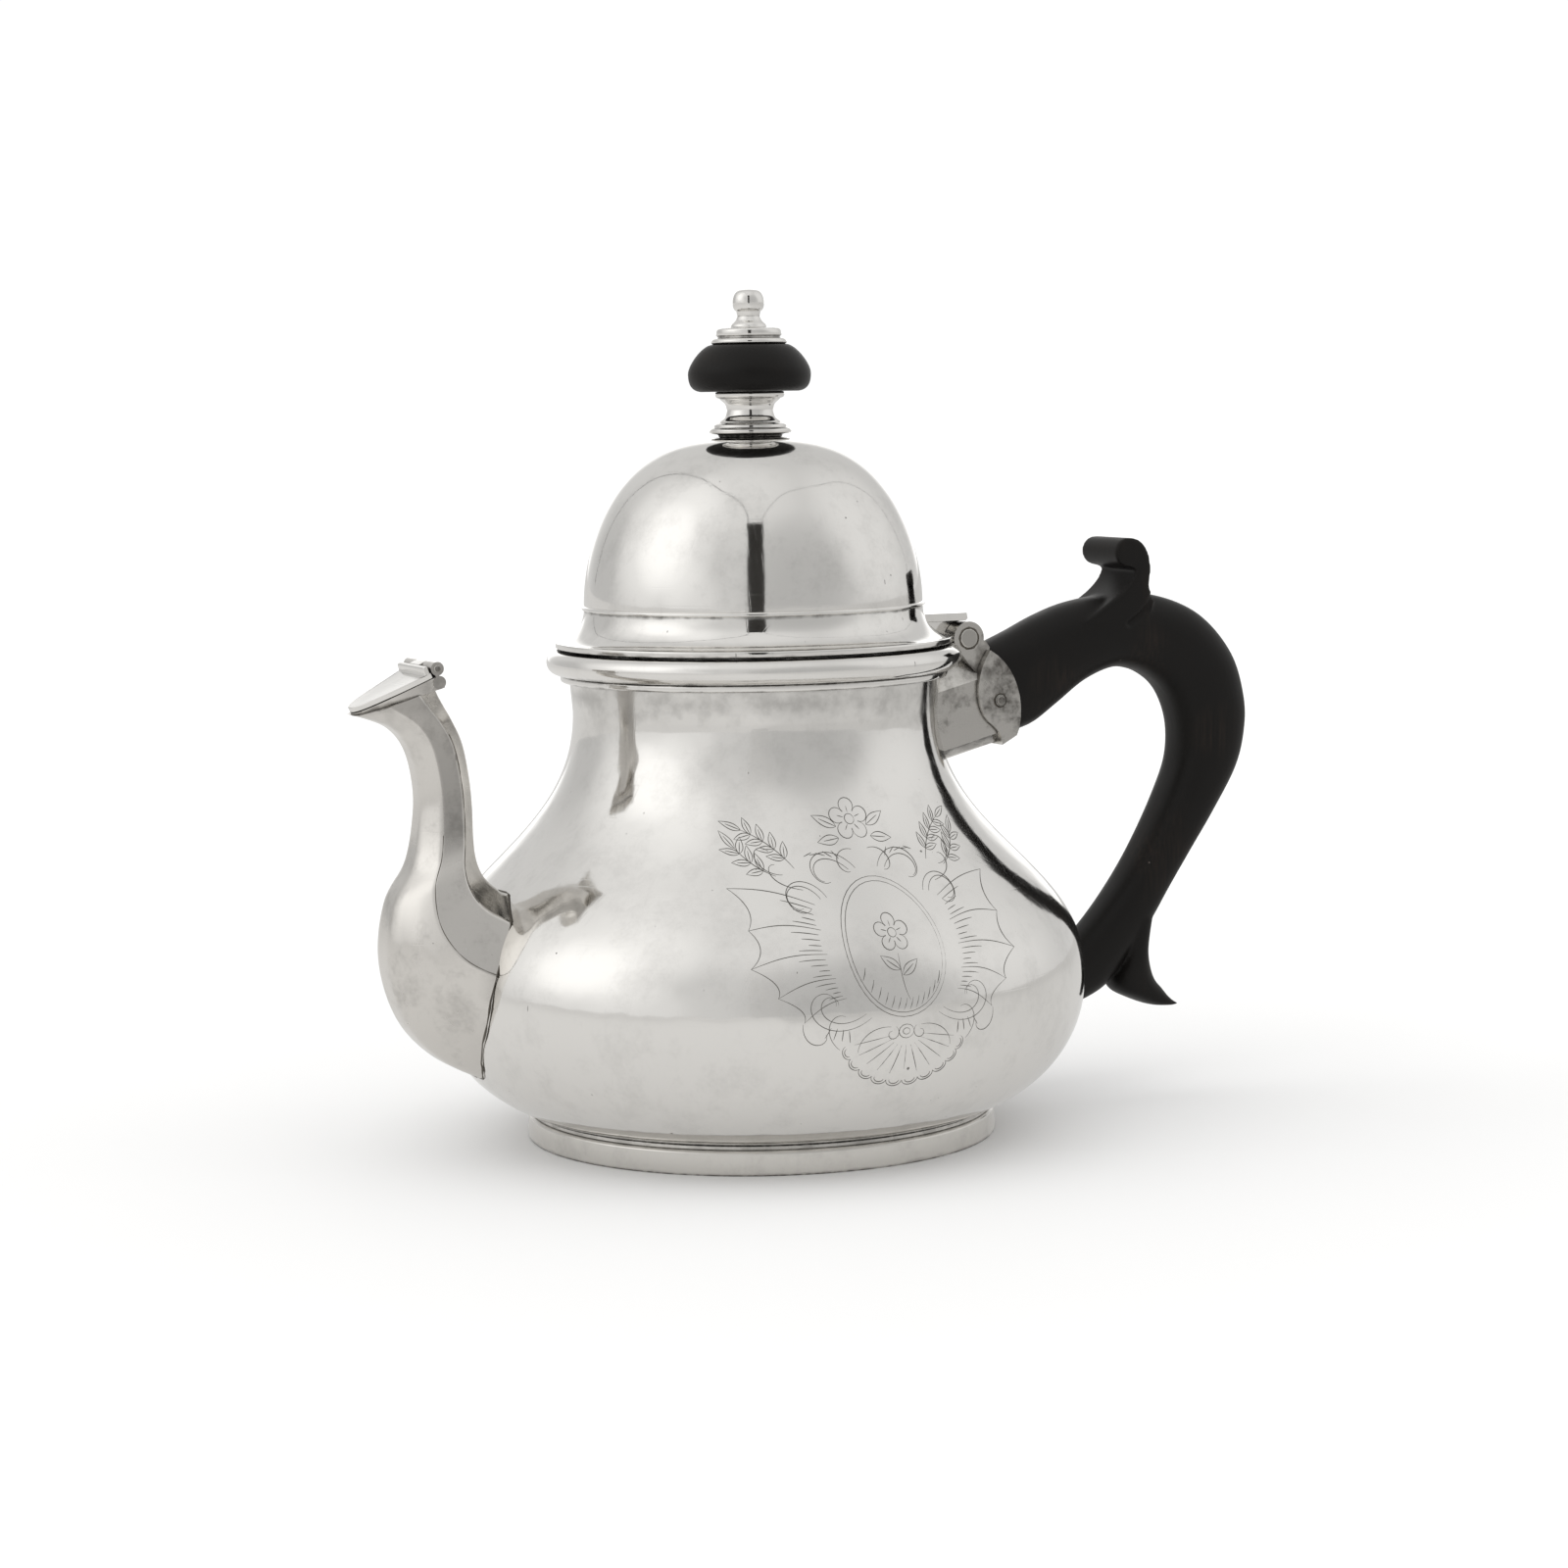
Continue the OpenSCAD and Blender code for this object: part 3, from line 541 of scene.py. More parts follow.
def pierce_strainer():
    """Nineteen holes in two rings round a middle one, cut through the belly inside the spout."""
    drills = []
    for ring in range(3):
        for i in range(max(ring * 6, 1)):
            turn = math.radians(60 * i / max(ring, 1))
            out = STRAINER_STEP * ring
            place = (-BELLY_R * MM, out * math.cos(turn) * MM,
                     (STRAINER_Z + out * math.sin(turn)) * MM)
            bpy.ops.mesh.primitive_cylinder_add(vertices=24, radius=STRAINER_HOLE_R * MM, depth=26 * MM,
                                                location=place, rotation=(0, math.pi / 2, 0))
            drills.append(bpy.context.object)
    bpy.ops.object.select_all(action="DESELECT")
    for drill in drills:
        drill.select_set(True)
    bpy.ops.object.join()
    cutter = bpy.context.object
    apply_modifier(pot_body, "BOOLEAN", operation="DIFFERENCE", solver="EXACT", object=cutter)
    bpy.data.objects.remove(cutter)


pierce_strainer()
body_silver = silver("silver_body", hammer=4.5, pit_spread=6.0, pit_chance=0.28, pit_size=0.045,
                     nick=0.08, stains=0.09, joints=[(BEAD_LOW - 3.6, 5.5, 0.36), (FOOT_TOP, 0.8, 0.5)])
fit(pot_body, body_silver, "silver_body", "pot", "body_shell")

# ---------------------------------------------------------------------------------------
# The engraving on the front of the belly: a plain oval with scrolls, ribbed wings,
# leaf sprigs, a rose and a shell round it, cut with a fine graver.
# ---------------------------------------------------------------------------------------
GRAVER_R = 0.1
GRAVER_DEPTH = 0.035
DESIGN_LIFT = 7.5
DESIGN_SQUASH = 0.96


def radius_at(outline, z):
    """The radius that an outline has at a height."""
    for (r0, z0), (r1, z1) in zip(outline, outline[1:]):
        if z0 <= z <= z1:
            return r0 + (r1 - r0) * (z - z0) / max(z1 - z0, 1e-6)
    return 0


def wires(name, paths, radius, closed=False):
    """Thin round wires along paths of points, each point with its own share of the thickness."""
    curve = bpy.data.curves.new(name, "CURVE")
    curve.dimensions = "3D"
    curve.bevel_depth = radius * MM
    curve.bevel_resolution = 0
    curve.use_fill_caps = True
    for path in paths:
        spline = curve.splines.new("POLY")
        spline.points.add(len(path) - 1)
        spline.use_cyclic_u = closed
        for point, (place, share) in zip(spline.points, path):
            point.co = (*(place * MM), 1)
            point.radius = share
    piece = bpy.data.objects.new(name, curve)
    bpy.context.scene.collection.objects.link(piece)
    bpy.ops.object.select_all(action="DESELECT")
    piece.select_set(True)
    bpy.context.view_layer.objects.active = piece
    bpy.ops.object.convert(target="MESH")
    piece = bpy.context.object
    bpy.ops.object.mode_set(mode="EDIT")
    close_up(piece, 60)
    return piece


def swirl(x, z, heading, length, bend, tighten):
    """A stroke that sets off one way and curls more and more tightly, in degrees per millimetre."""
    steps = max(int(length * 2), 8)
    points = [(x, z)]
    for i in range(steps):
        heading += (bend + tighten * (i / steps) ** 2) * length / steps
        x += math.cos(math.radians(heading)) * length / steps
        z += math.sin(math.radians(heading)) * length / steps
        points.append((x, z))
    return points


def ring_stroke(x, z, across, up, start=0, end=360):
    """An oval stroke, or part of one, about a middle."""
    steps = max(int((across + up) * abs(end - start) / 180), 12)
    turns = [math.radians(start + (end - start) * i / steps) for i in range(steps + 1)]
    return [(x + across * math.cos(a), z + up * math.sin(a)) for a in turns]


def leaf_strokes(x, z, heading, length, width):
    """A small pointed leaf: its two edges and its rib."""
    run, rise = math.cos(math.radians(heading)), math.sin(math.radians(heading))
    strokes = []
    for side in (width, -width, 0):
        steps = 12
        share = 0.7 if side == 0 else 1
        strokes.append([(x + run * length * share * t - rise * side * math.sin(math.pi * t ** 0.8),
                         z + rise * length * share * t + run * side * math.sin(math.pi * t ** 0.8))
                        for t in [k / steps for k in range(steps + 1)]])
    return strokes


def flower_strokes(x, z, reach):
    """A rose of five petals seen from the front."""
    strokes = [ring_stroke(x, z, reach * 0.24, reach * 0.24)]
    for k in range(5):
        turn = 90 + 72 * k
        run, rise = math.cos(math.radians(turn)), math.sin(math.radians(turn))
        strokes.append(ring_stroke(x + run * reach * 0.62, z + rise * reach * 0.62, reach * 0.36,
                                   reach * 0.36, turn - 140, turn + 140))
        strokes.append([(x + run * reach * s, z + rise * reach * s) for s in (0.3, 0.45, 0.6)])
    return strokes


def sprig_strokes(x, z, heading, length, bend):
    """A bending stem with pairs of leaves and one at its end."""
    stem = swirl(x, z, heading, length, bend, 0)
    strokes = [stem]
    for k in range(4, len(stem) - 2, 4):
        (x0, z0), (x1, z1) = stem[k], stem[k + 1]
        along = math.degrees(math.atan2(z1 - z0, x1 - x0))
        strokes += leaf_strokes(x0, z0, along + 48, 3.0, 0.55)
        strokes += leaf_strokes(x0, z0, along - 48, 3.0, 0.55)
    (x0, z0), (x1, z1) = stem[-2:]
    return strokes + leaf_strokes(x1, z1, math.degrees(math.atan2(z1 - z0, x1 - x0)), 3.4, 0.6)


def wing_strokes():
    """The ribbed wing beside the oval: ribs with hollow edges between their tips, and shading."""
    tips = [(25.5, 47.5), (24.8, 40.5), (26.2, 34.0), (22.6, 28.8), (18.6, 24.2)]
    roots = [(12.2, 44.5), (12.8, 40.3), (13.0, 36.2), (12.4, 32.0), (11.0, 28.4)]
    strokes = []
    for (x0, z0), (x1, z1) in zip(roots, tips):
        strokes.append([(x0 + (x1 - x0) * t, z0 + (z1 - z0) * t + 0.9 * math.sin(math.pi * t))
                        for t in [k / 14 for k in range(15)]])
    for (x0, z0), (x1, z1) in zip(tips, tips[1:]):
        middle = ((x0 + x1) / 2 - 3.2, (z0 + z1) / 2)
        strokes.append([((1 - t) ** 2 * x0 + 2 * t * (1 - t) * middle[0] + t * t * x1,
                         (1 - t) ** 2 * z0 + 2 * t * (1 - t) * middle[1] + t * t * z1)
                        for t in [k / 12 for k in range(13)]])
    for k in range(4):
        for share, low, high in ((0.22, 0.05, 0.42), (0.44, 0.05, 0.3), (0.66, 0.05, 0.22),
                                 (0.85, 0.05, 0.36)):
            a = [roots[k][i] + (roots[k + 1][i] - roots[k][i]) * share for i in (0, 1)]
            b = [tips[k][i] + (tips[k + 1][i] - tips[k][i]) * share for i in (0, 1)]
            strokes.append([(a[0] + (b[0] - a[0]) * t,
                             a[1] + (b[1] - a[1]) * t + 0.9 * math.sin(math.pi * t))
                            for t in [low + (high - low) * j / 6 for j in range(7)]])
    return strokes


def shell_strokes():
    """Half of the shell under the oval: ribs from its hinge and a border of round lobes."""
    strokes = []
    ends = []
    for k in range(6):
        turn = math.radians(-90 + 15.5 * k)
        ends.append((1.22 * 9.6 * math.sin(math.radians(15.5 * k)), 21.5 + 9.6 * math.sin(turn) * 0.98))
        if k:
            strokes.append([(ends[k][0] * s, 21.5 + (ends[k][1] - 21.5) * s)
                            for s in (0.28, 0.5, 0.7, 0.86)])
    for (x0, z0), (x1, z1) in zip(ends, ends[1:]):
        across = math.hypot(x1 - x0, z1 - z0) / 2
        lean = math.degrees(math.atan2(z1 - z0, x1 - x0))
        x, z = (x0 + x1) / 2, (z0 + z1) / 2
        for size in (1.0, 0.62):
            lobe = ring_stroke(0, 0, across * size, across * 0.75 * size, 180, 360)
            strokes.append([(x + u * math.cos(math.radians(lean)) - v * math.sin(math.radians(lean)),
                             z + u * math.sin(math.radians(lean)) + v * math.cos(math.radians(lean)))
                            for u, v in lobe])
    strokes.append([(0, 19), (0, 17.5), (0, 15.9), (0, 14.3)])
    return strokes


def half_strokes():
    """Every stroke on the right of the middle line, which the left mirrors."""
    strokes = [swirl(2.2, 50.2, 62, 15, -9, -26), swirl(3.6, 50.0, 55, 10.5, -10, -34),
               swirl(9.6, 45.6, 75, 15, -13.5, -20), swirl(10.8, 45.4, 72, 11, -15, -30),
               swirl(15.6, 49.6, -5, 9, 14, 40), swirl(13.2, 47.0, 10, 8, 3, 60),
               swirl(6.6, 24.6, -40, 21, 5.5, 30), swirl(7.6, 25.4, -38, 15, 6.5, 44),
               swirl(3.0, 22.6, 10, 8.5, -9, -8), swirl(12.4, 18.9, 38, 9, 9, 30),
               swirl(18.8, 24.0, -80, 8, -12, -45), swirl(1.6, 53.4, 20, 7.5, -18, -30),
               swirl(2.0, 22.6, -150, 5.5, 40, 60)]
    strokes += [swirl(10.6 + 1.5 * k, 20.2 + 0.35 * k, 85 + 12 * k, 2.2, 0, 0) for k in range(4)]
    strokes += [swirl(4.6 + 1.15 * k, 51.9 + 0.32 * k, 58 - 20 * k, 1.7, 0, 0) for k in range(5)]
    strokes += sprig_strokes(13.2, 50.6, 66, 9.5, -4)
    strokes += sprig_strokes(16.8, 49.4, 22, 7.0, 6)
    strokes += leaf_strokes(3.0, 57.4, 28, 4.6, 0.9) + leaf_strokes(3.2, 55.4, -8, 4.2, 0.85)
    return strokes + wing_strokes() + shell_strokes()


def middle_strokes():
    """The oval, the flower in it, the flower above it and the shell's boss, on the middle line."""
    strokes = [ring_stroke(0, 36.5, 9.6, 12.2), ring_stroke(0, 36.5, 8.9, 11.4),
               ring_stroke(0, 21.6, 1.5, 1.3), ring_stroke(0, 21.6, 0.7, 0.6)]
    strokes += flower_strokes(0, 58.6, 3.9) + flower_strokes(0, 39.2, 3.4)
    strokes += [swirl(0, 35.6, -96, 8.5, 2, 6)]
    strokes += leaf_strokes(0.2, 31.8, 38, 4.2, 0.9) + leaf_strokes(-0.2, 32.8, 142, 4.2, 0.9)
    for k in range(13):
        x = -7.6 + 1.2 * k
        low = -11.0 * math.sqrt(max(1 - (x / 8.6) ** 2, 0))
        strokes.append([(x, 36.5 + low), (x + 0.45, 36.5 + low + 1.0), (x + 0.8, 36.5 + low + 2.2)])
    return strokes


def on_belly(stroke):
    """A stroke laid on the front of the belly, swelling in the middle as a graver cuts it."""
    laid = []
    for i, (x, drawn_z) in enumerate(stroke):
        z = DESIGN_LIFT + DESIGN_SQUASH * drawn_z
        radius = radius_at(body_outline, z) - GRAVER_DEPTH
        swell = 0.55 + 0.45 * math.sin(math.pi * i / (len(stroke) - 1))
        laid.append((Vector((x, -math.sqrt(radius ** 2 - x ** 2), z)), swell))
    return laid


drawn = half_strokes()
drawn += [[(-x, z) for x, z in stroke] for stroke in drawn] + middle_strokes()
engraving = wires("engraving", [on_belly(stroke) for stroke in drawn], GRAVER_R)
cut_silver = silver("silver_cut", colour=(0.16, 0.153, 0.142, 1), roughness=0.4, hammer=0, corners=0)
fit(engraving, cut_silver, "silver_body", "pot")

# ---------------------------------------------------------------------------------------
# The foot ring: a strip of silver bent round and soldered under the body, with a small
# step at its top and tarnish in the joint.
# ---------------------------------------------------------------------------------------
foot_outline = [(FOOT_R - 2.6, FOOT_TOP), (FOOT_R - 2.6, 0), (FOOT_R - 0.1, 0), (FOOT_R, 0.5),
                (FOOT_R - 0.15, FOOT_TOP - 1.2), (FOOT_R - 0.55, FOOT_TOP - 0.75),
                (FOOT_R - 0.9, FOOT_TOP - 0.7), (FOOT_R - 0.95, FOOT_TOP), (FOOT_R - 2.6, FOOT_TOP)]
foot_wire = turned("foot_wire", eased(foot_outline, 0.22))
foot_silver = silver("silver_foot", colour=(0.68, 0.662, 0.63, 1), roughness=0.16, hammer=1.6,
                     pit_spread=3.0, pit_chance=0.3, pit_size=0.05, nick=0.1, stains=0.12,
                     joints=[(FOOT_TOP - 0.4, 0.5, 0.5), (0, 0.7, 0.5)])
fit(foot_wire, foot_silver, "silver_foot", "pot", "foot_ring")

# ---------------------------------------------------------------------------------------
# The mouth moulding: a half-round wire with a thin fillet wire under it, both soldered
# round the neck and dark in the joints between them.
# ---------------------------------------------------------------------------------------
BEAD_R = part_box("mouth_bead")[1].x / MM
FILLET_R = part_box("mouth_fillet")[1].x / MM
FILLET_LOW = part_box("mouth_fillet")[0].z / MM
BEAD_HALF = (MOUTH_TOP - BEAD_LOW) / 2
bead_middle = (BEAD_R - BEAD_HALF, BEAD_LOW + BEAD_HALF)
bead_round = [(bead_middle[0] + BEAD_HALF * math.cos(math.radians(a)),
               bead_middle[1] + BEAD_HALF * math.sin(math.radians(a))) for a in range(-90, 91, 6)]
NECK_TOP_R = NECK_R + 0.6
mouth_bead = turned("mouth_bead_wire", [(NECK_TOP_R, BEAD_LOW)] + bead_round
                    + [(NECK_TOP_R, MOUTH_TOP), (NECK_TOP_R, BEAD_LOW)])
fillet_outline = [(NECK_TOP_R, FILLET_LOW), (FILLET_R, FILLET_LOW), (FILLET_R, BEAD_LOW),
                  (NECK_TOP_R, BEAD_LOW), (NECK_TOP_R, FILLET_LOW)]
mouth_fillet = turned("mouth_fillet_wire", eased(fillet_outline, 0.5))
mouth_silver = silver("silver_mouth", hammer=0.35,
                      joints=[(BEAD_LOW, 0.45, 1.0), (FILLET_LOW, 0.35, 1.0)])
fit(mouth_bead, mouth_silver, "silver_mouth", "pot", "mouth_bead")
fit(mouth_fillet, mouth_silver, "silver_mouth", "pot", "mouth_fillet")

# ---------------------------------------------------------------------------------------
# The spout: two cast halves, eight-sided in the neck and swelling to a soft base with one
# flat facet on each side, soldered together along the middle and onto the belly.
# ---------------------------------------------------------------------------------------
# Inner edge, outer edge, half width, and how far the section has the base's shape.
SPOUT_STATIONS = [
    (-46.0, 50.5, -46.0, 12.0, 16.7, 1.0), (-52.7, 49.8, -56.2, 14.7, 16.7, 1.0),
    (-55.2, 51.2, -65.8, 19.6, 15.8, 0.9), (-57.0, 53.0, -72.4, 27.1, 14.0, 0.7),
    (-58.0, 55.2, -75.5, 37.8, 11.5, 0.45), (-58.4, 57.8, -74.3, 48.5, 9.2, 0.25),
    (-58.4, 61.2, -70.2, 56.0, 7.2, 0.1), (-58.3, 66.0, -68.5, 65.0, 5.9, 0),
    (-58.7, 71.5, -68.7, 71.5, 5.5, 0), (-59.9, 77.8, -70.2, 77.2, 5.6, 0),
    (-61.9, 82.2, -73.0, 80.8, 6.1, 0), (-64.4, 86.6, -77.2, 82.8, 6.7, 0),
    (-66.6, 91.5, -83.0, 84.4, 7.2, 0)]
# Corners of half a section: share of the way across, share of the half width.
NECK_SECTION = [(0, 0.41), (0.29, 1), (0.71, 1), (0.86, 0.72), (1, 0.41)]
BASE_SECTION = [(0, 0.3), (0.137, 0.77), (0.427, 1), (0.707, 0.92), (1, 0.26)]
# How far each corner is cut back before it is rounded.
NECK_CUTS = [0.8, 0.75, 0.8, 1.5, 1.3]
BASE_CUTS = [1.2, 0.5, 0.3, 5.2, 4.2]
SEAM_CUT = 0.12
SPOUT_WALL = 1.2
SOLDER_DEPTH = 0.45
RAIL_STEPS = 25
SPOUT_RINGS = 120
FLAP_AXIS = Vector((-66.3, 0, 92))
LIP_SLOPE = math.radians(17.75)
LIP_DEPTH = 3.7


def station_at(stations, t):
    """The station at a place between two of those listed, on a smooth run through all of them."""
    i = min(int(t), len(stations) - 2)
    u = t - i
    rows = [stations[k] for k in (max(i - 1, 0), i, i + 1, min(i + 2, len(stations) - 1))]
    return [0.5 * (2 * b + (c - a) * u + (2 * a - 5 * b + 4 * c - d) * u * u
                   + (3 * b - a - 3 * c + d) * u ** 3) for a, b, c, d in zip(*rows)]


def spout_line(station, depth, side):
    """Half of the spout's outline in one section, drawn in by a depth, from inner to outer edge."""
    inner, outer = Vector((station[0], 0, station[1])), Vector((station[2], 0, station[3]))
    across = (outer - inner).normalized()
    length = (outer - inner).length - 2 * depth
    half, base = station[4] - depth, station[5]
    corners = [(0, 0), (0, SEAM_CUT)]
    cuts = [0, 0]
    for (a, v), (b, w), c, d in zip(NECK_SECTION, BASE_SECTION, NECK_CUTS, BASE_CUTS):
        corners.append(((a + (b - a) * base) * length, (v + (w - v) * base) * half))
        cuts.append(c + (d - c) * base)
    corners += [(length, SEAM_CUT), (length, 0)]
    cuts += [0, 0]
    return [inner + across * (depth + s) + Vector((0, side * v, 0)) for s, v in eased(corners, cuts, 6)]


def outside_pot(point, depth):
    """Whether a point is clear of the belly's surface, or of a surface that deep inside it."""
    return math.hypot(point.x, point.y) > radius_at(body_outline, point.z) - depth


def under_lip(point, margin=0.2):
    """Whether a point of the spout is still below the underside of its lip."""
    up = Vector((-math.sin(LIP_SLOPE), 0, math.cos(LIP_SLOPE)))
    return (point - FLAP_AXIS).dot(up) < margin - LIP_DEPTH


def trimmed(rail, count, keep):
    """Part of a line of points, cut where keep stops being true and spaced out evenly again."""
    kept = [i for i, point in enumerate(rail) if keep(point)]
    first, last = kept[0], kept[-1]
    points = []
    for k in range(count):
        t = first + (last - first) * k / (count - 1)
        i = min(int(t), len(rail) - 2)
        points.append(rail[i].lerp(rail[i + 1], t - i))
    return points


def laid_over(name, rings, closed=True):
    """A grid of faces laid over rings of points, all with the same number of points."""
    bpy.ops.object.select_all(action="DESELECT")
    across = len(rings[0]) if closed else len(rings[0]) - 1
    bpy.ops.mesh.primitive_grid_add(x_subdivisions=across, y_subdivisions=len(rings) - 1, size=MM)
    piece = bpy.context.object
    piece.name = name
    places = [point * MM for ring in rings for point in (ring + ring[:1] if closed else ring)]
    for vertex, place in zip(piece.data.vertices, places):
        vertex.co = place
    bpy.ops.object.mode_set(mode="EDIT")
    bpy.ops.mesh.select_all(action="SELECT")
    bpy.ops.mesh.remove_doubles(threshold=0.002 * MM)
    bpy.ops.mesh.fill_holes(sides=0)
    return piece


def spout_half(name, side):
    """One cast half, walled inside and out, from the belly's sheet up into the lip."""
    fine = [station_at(SPOUT_STATIONS, k / RAIL_STEPS)
            for k in range((len(SPOUT_STATIONS) - 1) * RAIL_STEPS + 1)]
    lines = [spout_line(s, 0, side) + list(reversed(spout_line(s, SPOUT_WALL, side))) for s in fine]
    rails = [trimmed(list(rail), SPOUT_RINGS, lambda p: outside_pot(p, SOLDER_DEPTH) and under_lip(p))
             for rail in zip(*lines)]
    piece = laid_over(name, [list(ring) for ring in zip(*rails)])
    close_up(piece, 28)
    return piece


# Its flats darkens the spout's faces turned to either side as painted shade.
spout_silver = silver("silver_spout", colour=(0.73, 0.708, 0.674, 1), roughness=0.15, hammer=2.4,
                      scratches=2.0, pit_spread=2.6, pit_chance=0.3, pit_size=0.045, nick=0.12,
                      corners=0.9, stains=0.2, flats=0.38, joints=[(89, 2.5, 0.35), (86, 5, 0.3)])
for side, label in ((1, "left"), (-1, "right")):
    fit(spout_half("spout_" + label, side), spout_silver, "silver_spout", "pot", "spout_half_" + label)


def solder_line():
    """The line round the spout's foot where the solder has darkened."""
    loop = []
    for side in (1, -1):
        fine = [spout_line(station_at(SPOUT_STATIONS, k / RAIL_STEPS), 0, side)
                for k in range(5 * RAIL_STEPS)]
        starts = [next(p for p in rail if outside_pot(p, -0.08)) for rail in zip(*fine)]
        loop += starts if side > 0 else list(reversed(starts))
    return wires("spout_solder", [[(p, 0.8 + 0.35 * math.sin(1.7 * i)) for i, p in enumerate(loop)]],
                 0.22, True)


solder = silver("solder", colour=(0.17, 0.155, 0.135, 1), roughness=0.45, hammer=2.0, pit_chance=0.4)
spout_solder = solder_line()
fit(spout_solder, solder, "silver_spout", "pot")


def facet_lines():
    """Dark lines of painted shade along the two edges of the flat facet on each side of the spout."""
    paths = []
    for side in (1, -1):
        for corner, first, last in ((24, 0.6, 6.5), (17, 3.4, 9.5)):
            stations = [station_at(SPOUT_STATIONS, first + (last - first) * k / 90) for k in range(91)]
            line = [spout_line(station, 0, side)[corner] for station in stations]
            line = [p for p in line if outside_pot(p, 0)]
            paths.append([(p, 0.35 + 0.65 * abs(math.sin(0.21 * k + corner)) ** 0.6)
                          for k, p in enumerate(line)])
    return wires("spout_facet_lines", paths, 0.09)


# The facet lines take the solder's dark colour as painted shade.
fit(facet_lines(), solder, "silver_spout", "pot")

# ---------------------------------------------------------------------------------------
# The spout's lip: a leaf-shaped plate soldered over the spout's end, with two knuckles on
# it that hold a drawn wire pin.
# ---------------------------------------------------------------------------------------


def eased_copy(name, node, width, sharp=40):
    """A filed or cast piece of the CAD model's size, with its sharp edges eased."""
    bpy.ops.object.select_all(action="DESELECT")
    piece = bpy.data.objects.new(name, frame["nodes"][node].data.copy())
    bpy.context.scene.collection.objects.link(piece)
    piece.select_set(True)
    bpy.context.view_layer.objects.active = piece
    bpy.ops.object.mode_set(mode="EDIT")
    bpy.ops.mesh.select_all(action="SELECT")
    bpy.ops.mesh.remove_doubles(threshold=0.002 * MM)
    bpy.ops.mesh.dissolve_limited(angle_limit=math.radians(0.6))
    bpy.ops.object.mode_set(mode="OBJECT")
    bpy.ops.object.shade_smooth_by_angle(angle=math.radians(sharp))
    apply_modifier(piece, "BEVEL", width=width * MM, segments=3, limit_method="ANGLE",
                   angle_limit=math.radians(sharp), harden_normals=True)
    return piece


# Its flats darkens the faces of pins and nuts turned to either side as painted shade.
pin_silver = silver("silver_pins", colour=(0.66, 0.645, 0.61, 1), roughness=0.2, hammer=1.0,
                    pit_spread=2.0, pit_chance=0.3, pit_size=0.05, corners=1.0, stains=0.6, flats=0.4)
fit(eased_copy("spout_lip_plate", "spout_lip", 0.3), spout_silver, "silver_spout", "pot", "spout_lip")
fit(eased_copy("flap_lugs", "flap_hinge_lugs", 0.15), spout_silver, "silver_spout", "pot",
    "flap_hinge_lugs")
fit(eased_copy("flap_pin", "flap_hinge_pin", 0.22), pin_silver, "silver_pins", "pot", "flap_hinge_pin")

# ---------------------------------------------------------------------------------------
# The flap: a leaf of sheet silver, its hinge end folded up and soldered to the middle
# knuckle, that keeps dust out of the spout and swings up as the tea pours.
# ---------------------------------------------------------------------------------------
flap_silver = silver("silver_flap", roughness=0.11, hammer=1.2, scratches=1.4)
fit(eased_copy("flap_leaf", "spout_flap", 0.25), flap_silver, "silver_flap", "flap", "spout_flap")
fit(eased_copy("flap_middle_knuckle", "flap_knuckle", 0.12), flap_silver, "silver_flap", "flap",
    "flap_knuckle")

# ---------------------------------------------------------------------------------------
# The handle's socket: sheet silver folded to eight sides round the handle's end, with a
# shaped collar soldered over its mouth and a rivet that goes right through the wood.
# ---------------------------------------------------------------------------------------
# The socket's silver is a darker copy of the body's, its colour painted shade for the dim surroundings its
# faces mirror. Its band at 87 mm is painted shade under the bead, and flats darkens its faces turned to
# either side as painted shade.
socket_silver = silver("silver_socket", colour=(0.68, 0.662, 0.63, 1), roughness=0.13, hammer=4.0,
                       scratches=2.0, pit_spread=2.2, pit_chance=0.3, pit_size=0.05, nick=0.15,
                       corners=1.0, stains=0.6, flats=0.3, joints=[(87, 4.2, 0.9)])
fit(eased_copy("socket_sleeve", "handle_socket", 0.22), socket_silver, "silver_socket", "pot",
    "handle_socket")
fit(eased_copy("socket_collar_plate", "socket_collar", 0.3), socket_silver, "silver_socket", "pot",
    "socket_collar")
fit(eased_copy("rivet", "socket_rivet", 0.25), pin_silver, "silver_pins", "pot", "socket_rivet")

# ---------------------------------------------------------------------------------------
# The handle: fruitwood sawn and carved in one piece with a thumb scroll and a forked
# tail, stained black, and worn where it is held. A silver spigot and pin hold its foot.
# ---------------------------------------------------------------------------------------
# Lower edge, upper edge and half width, from the socket to the belly, then along the tail.
HANDLE_STATIONS = [
    (52.7, 73.4, 48.4, 91.0, 6.6), (58.5, 75.0, 54.6, 93.5, 6.8), (64.0, 78.6, 61.2, 96.4, 7.0),
    (70.2, 82.9, 68.2, 98.6, 7.2), (76.8, 85.3, 77.2, 99.8, 7.3), (82.0, 84.8, 87.2, 99.4, 7.3),
    (85.9, 83.0, 97.0, 95.4, 7.3), (89.0, 80.2, 104.3, 87.5, 7.2), (91.2, 75.8, 107.3, 78.5, 7.1),
    (92.0, 71.0, 107.3, 71.4, 7.0), (91.4, 65.8, 105.2, 64.0, 6.8), (89.1, 60.1, 99.8, 55.2, 6.5),
    (85.5, 53.2, 94.8, 48.0, 6.2), (81.2, 46.3, 89.9, 40.8, 5.9), (76.1, 39.6, 85.2, 33.6, 5.7),
    (70.6, 33.6, 79.9, 27.2, 5.5), (65.4, 29.2, 74.2, 21.1, 5.4), (58.0, 25.5, 64.0, 17.5, 5.3),
    (52.0, 23.5, 55.0, 16.5, 5.2)]
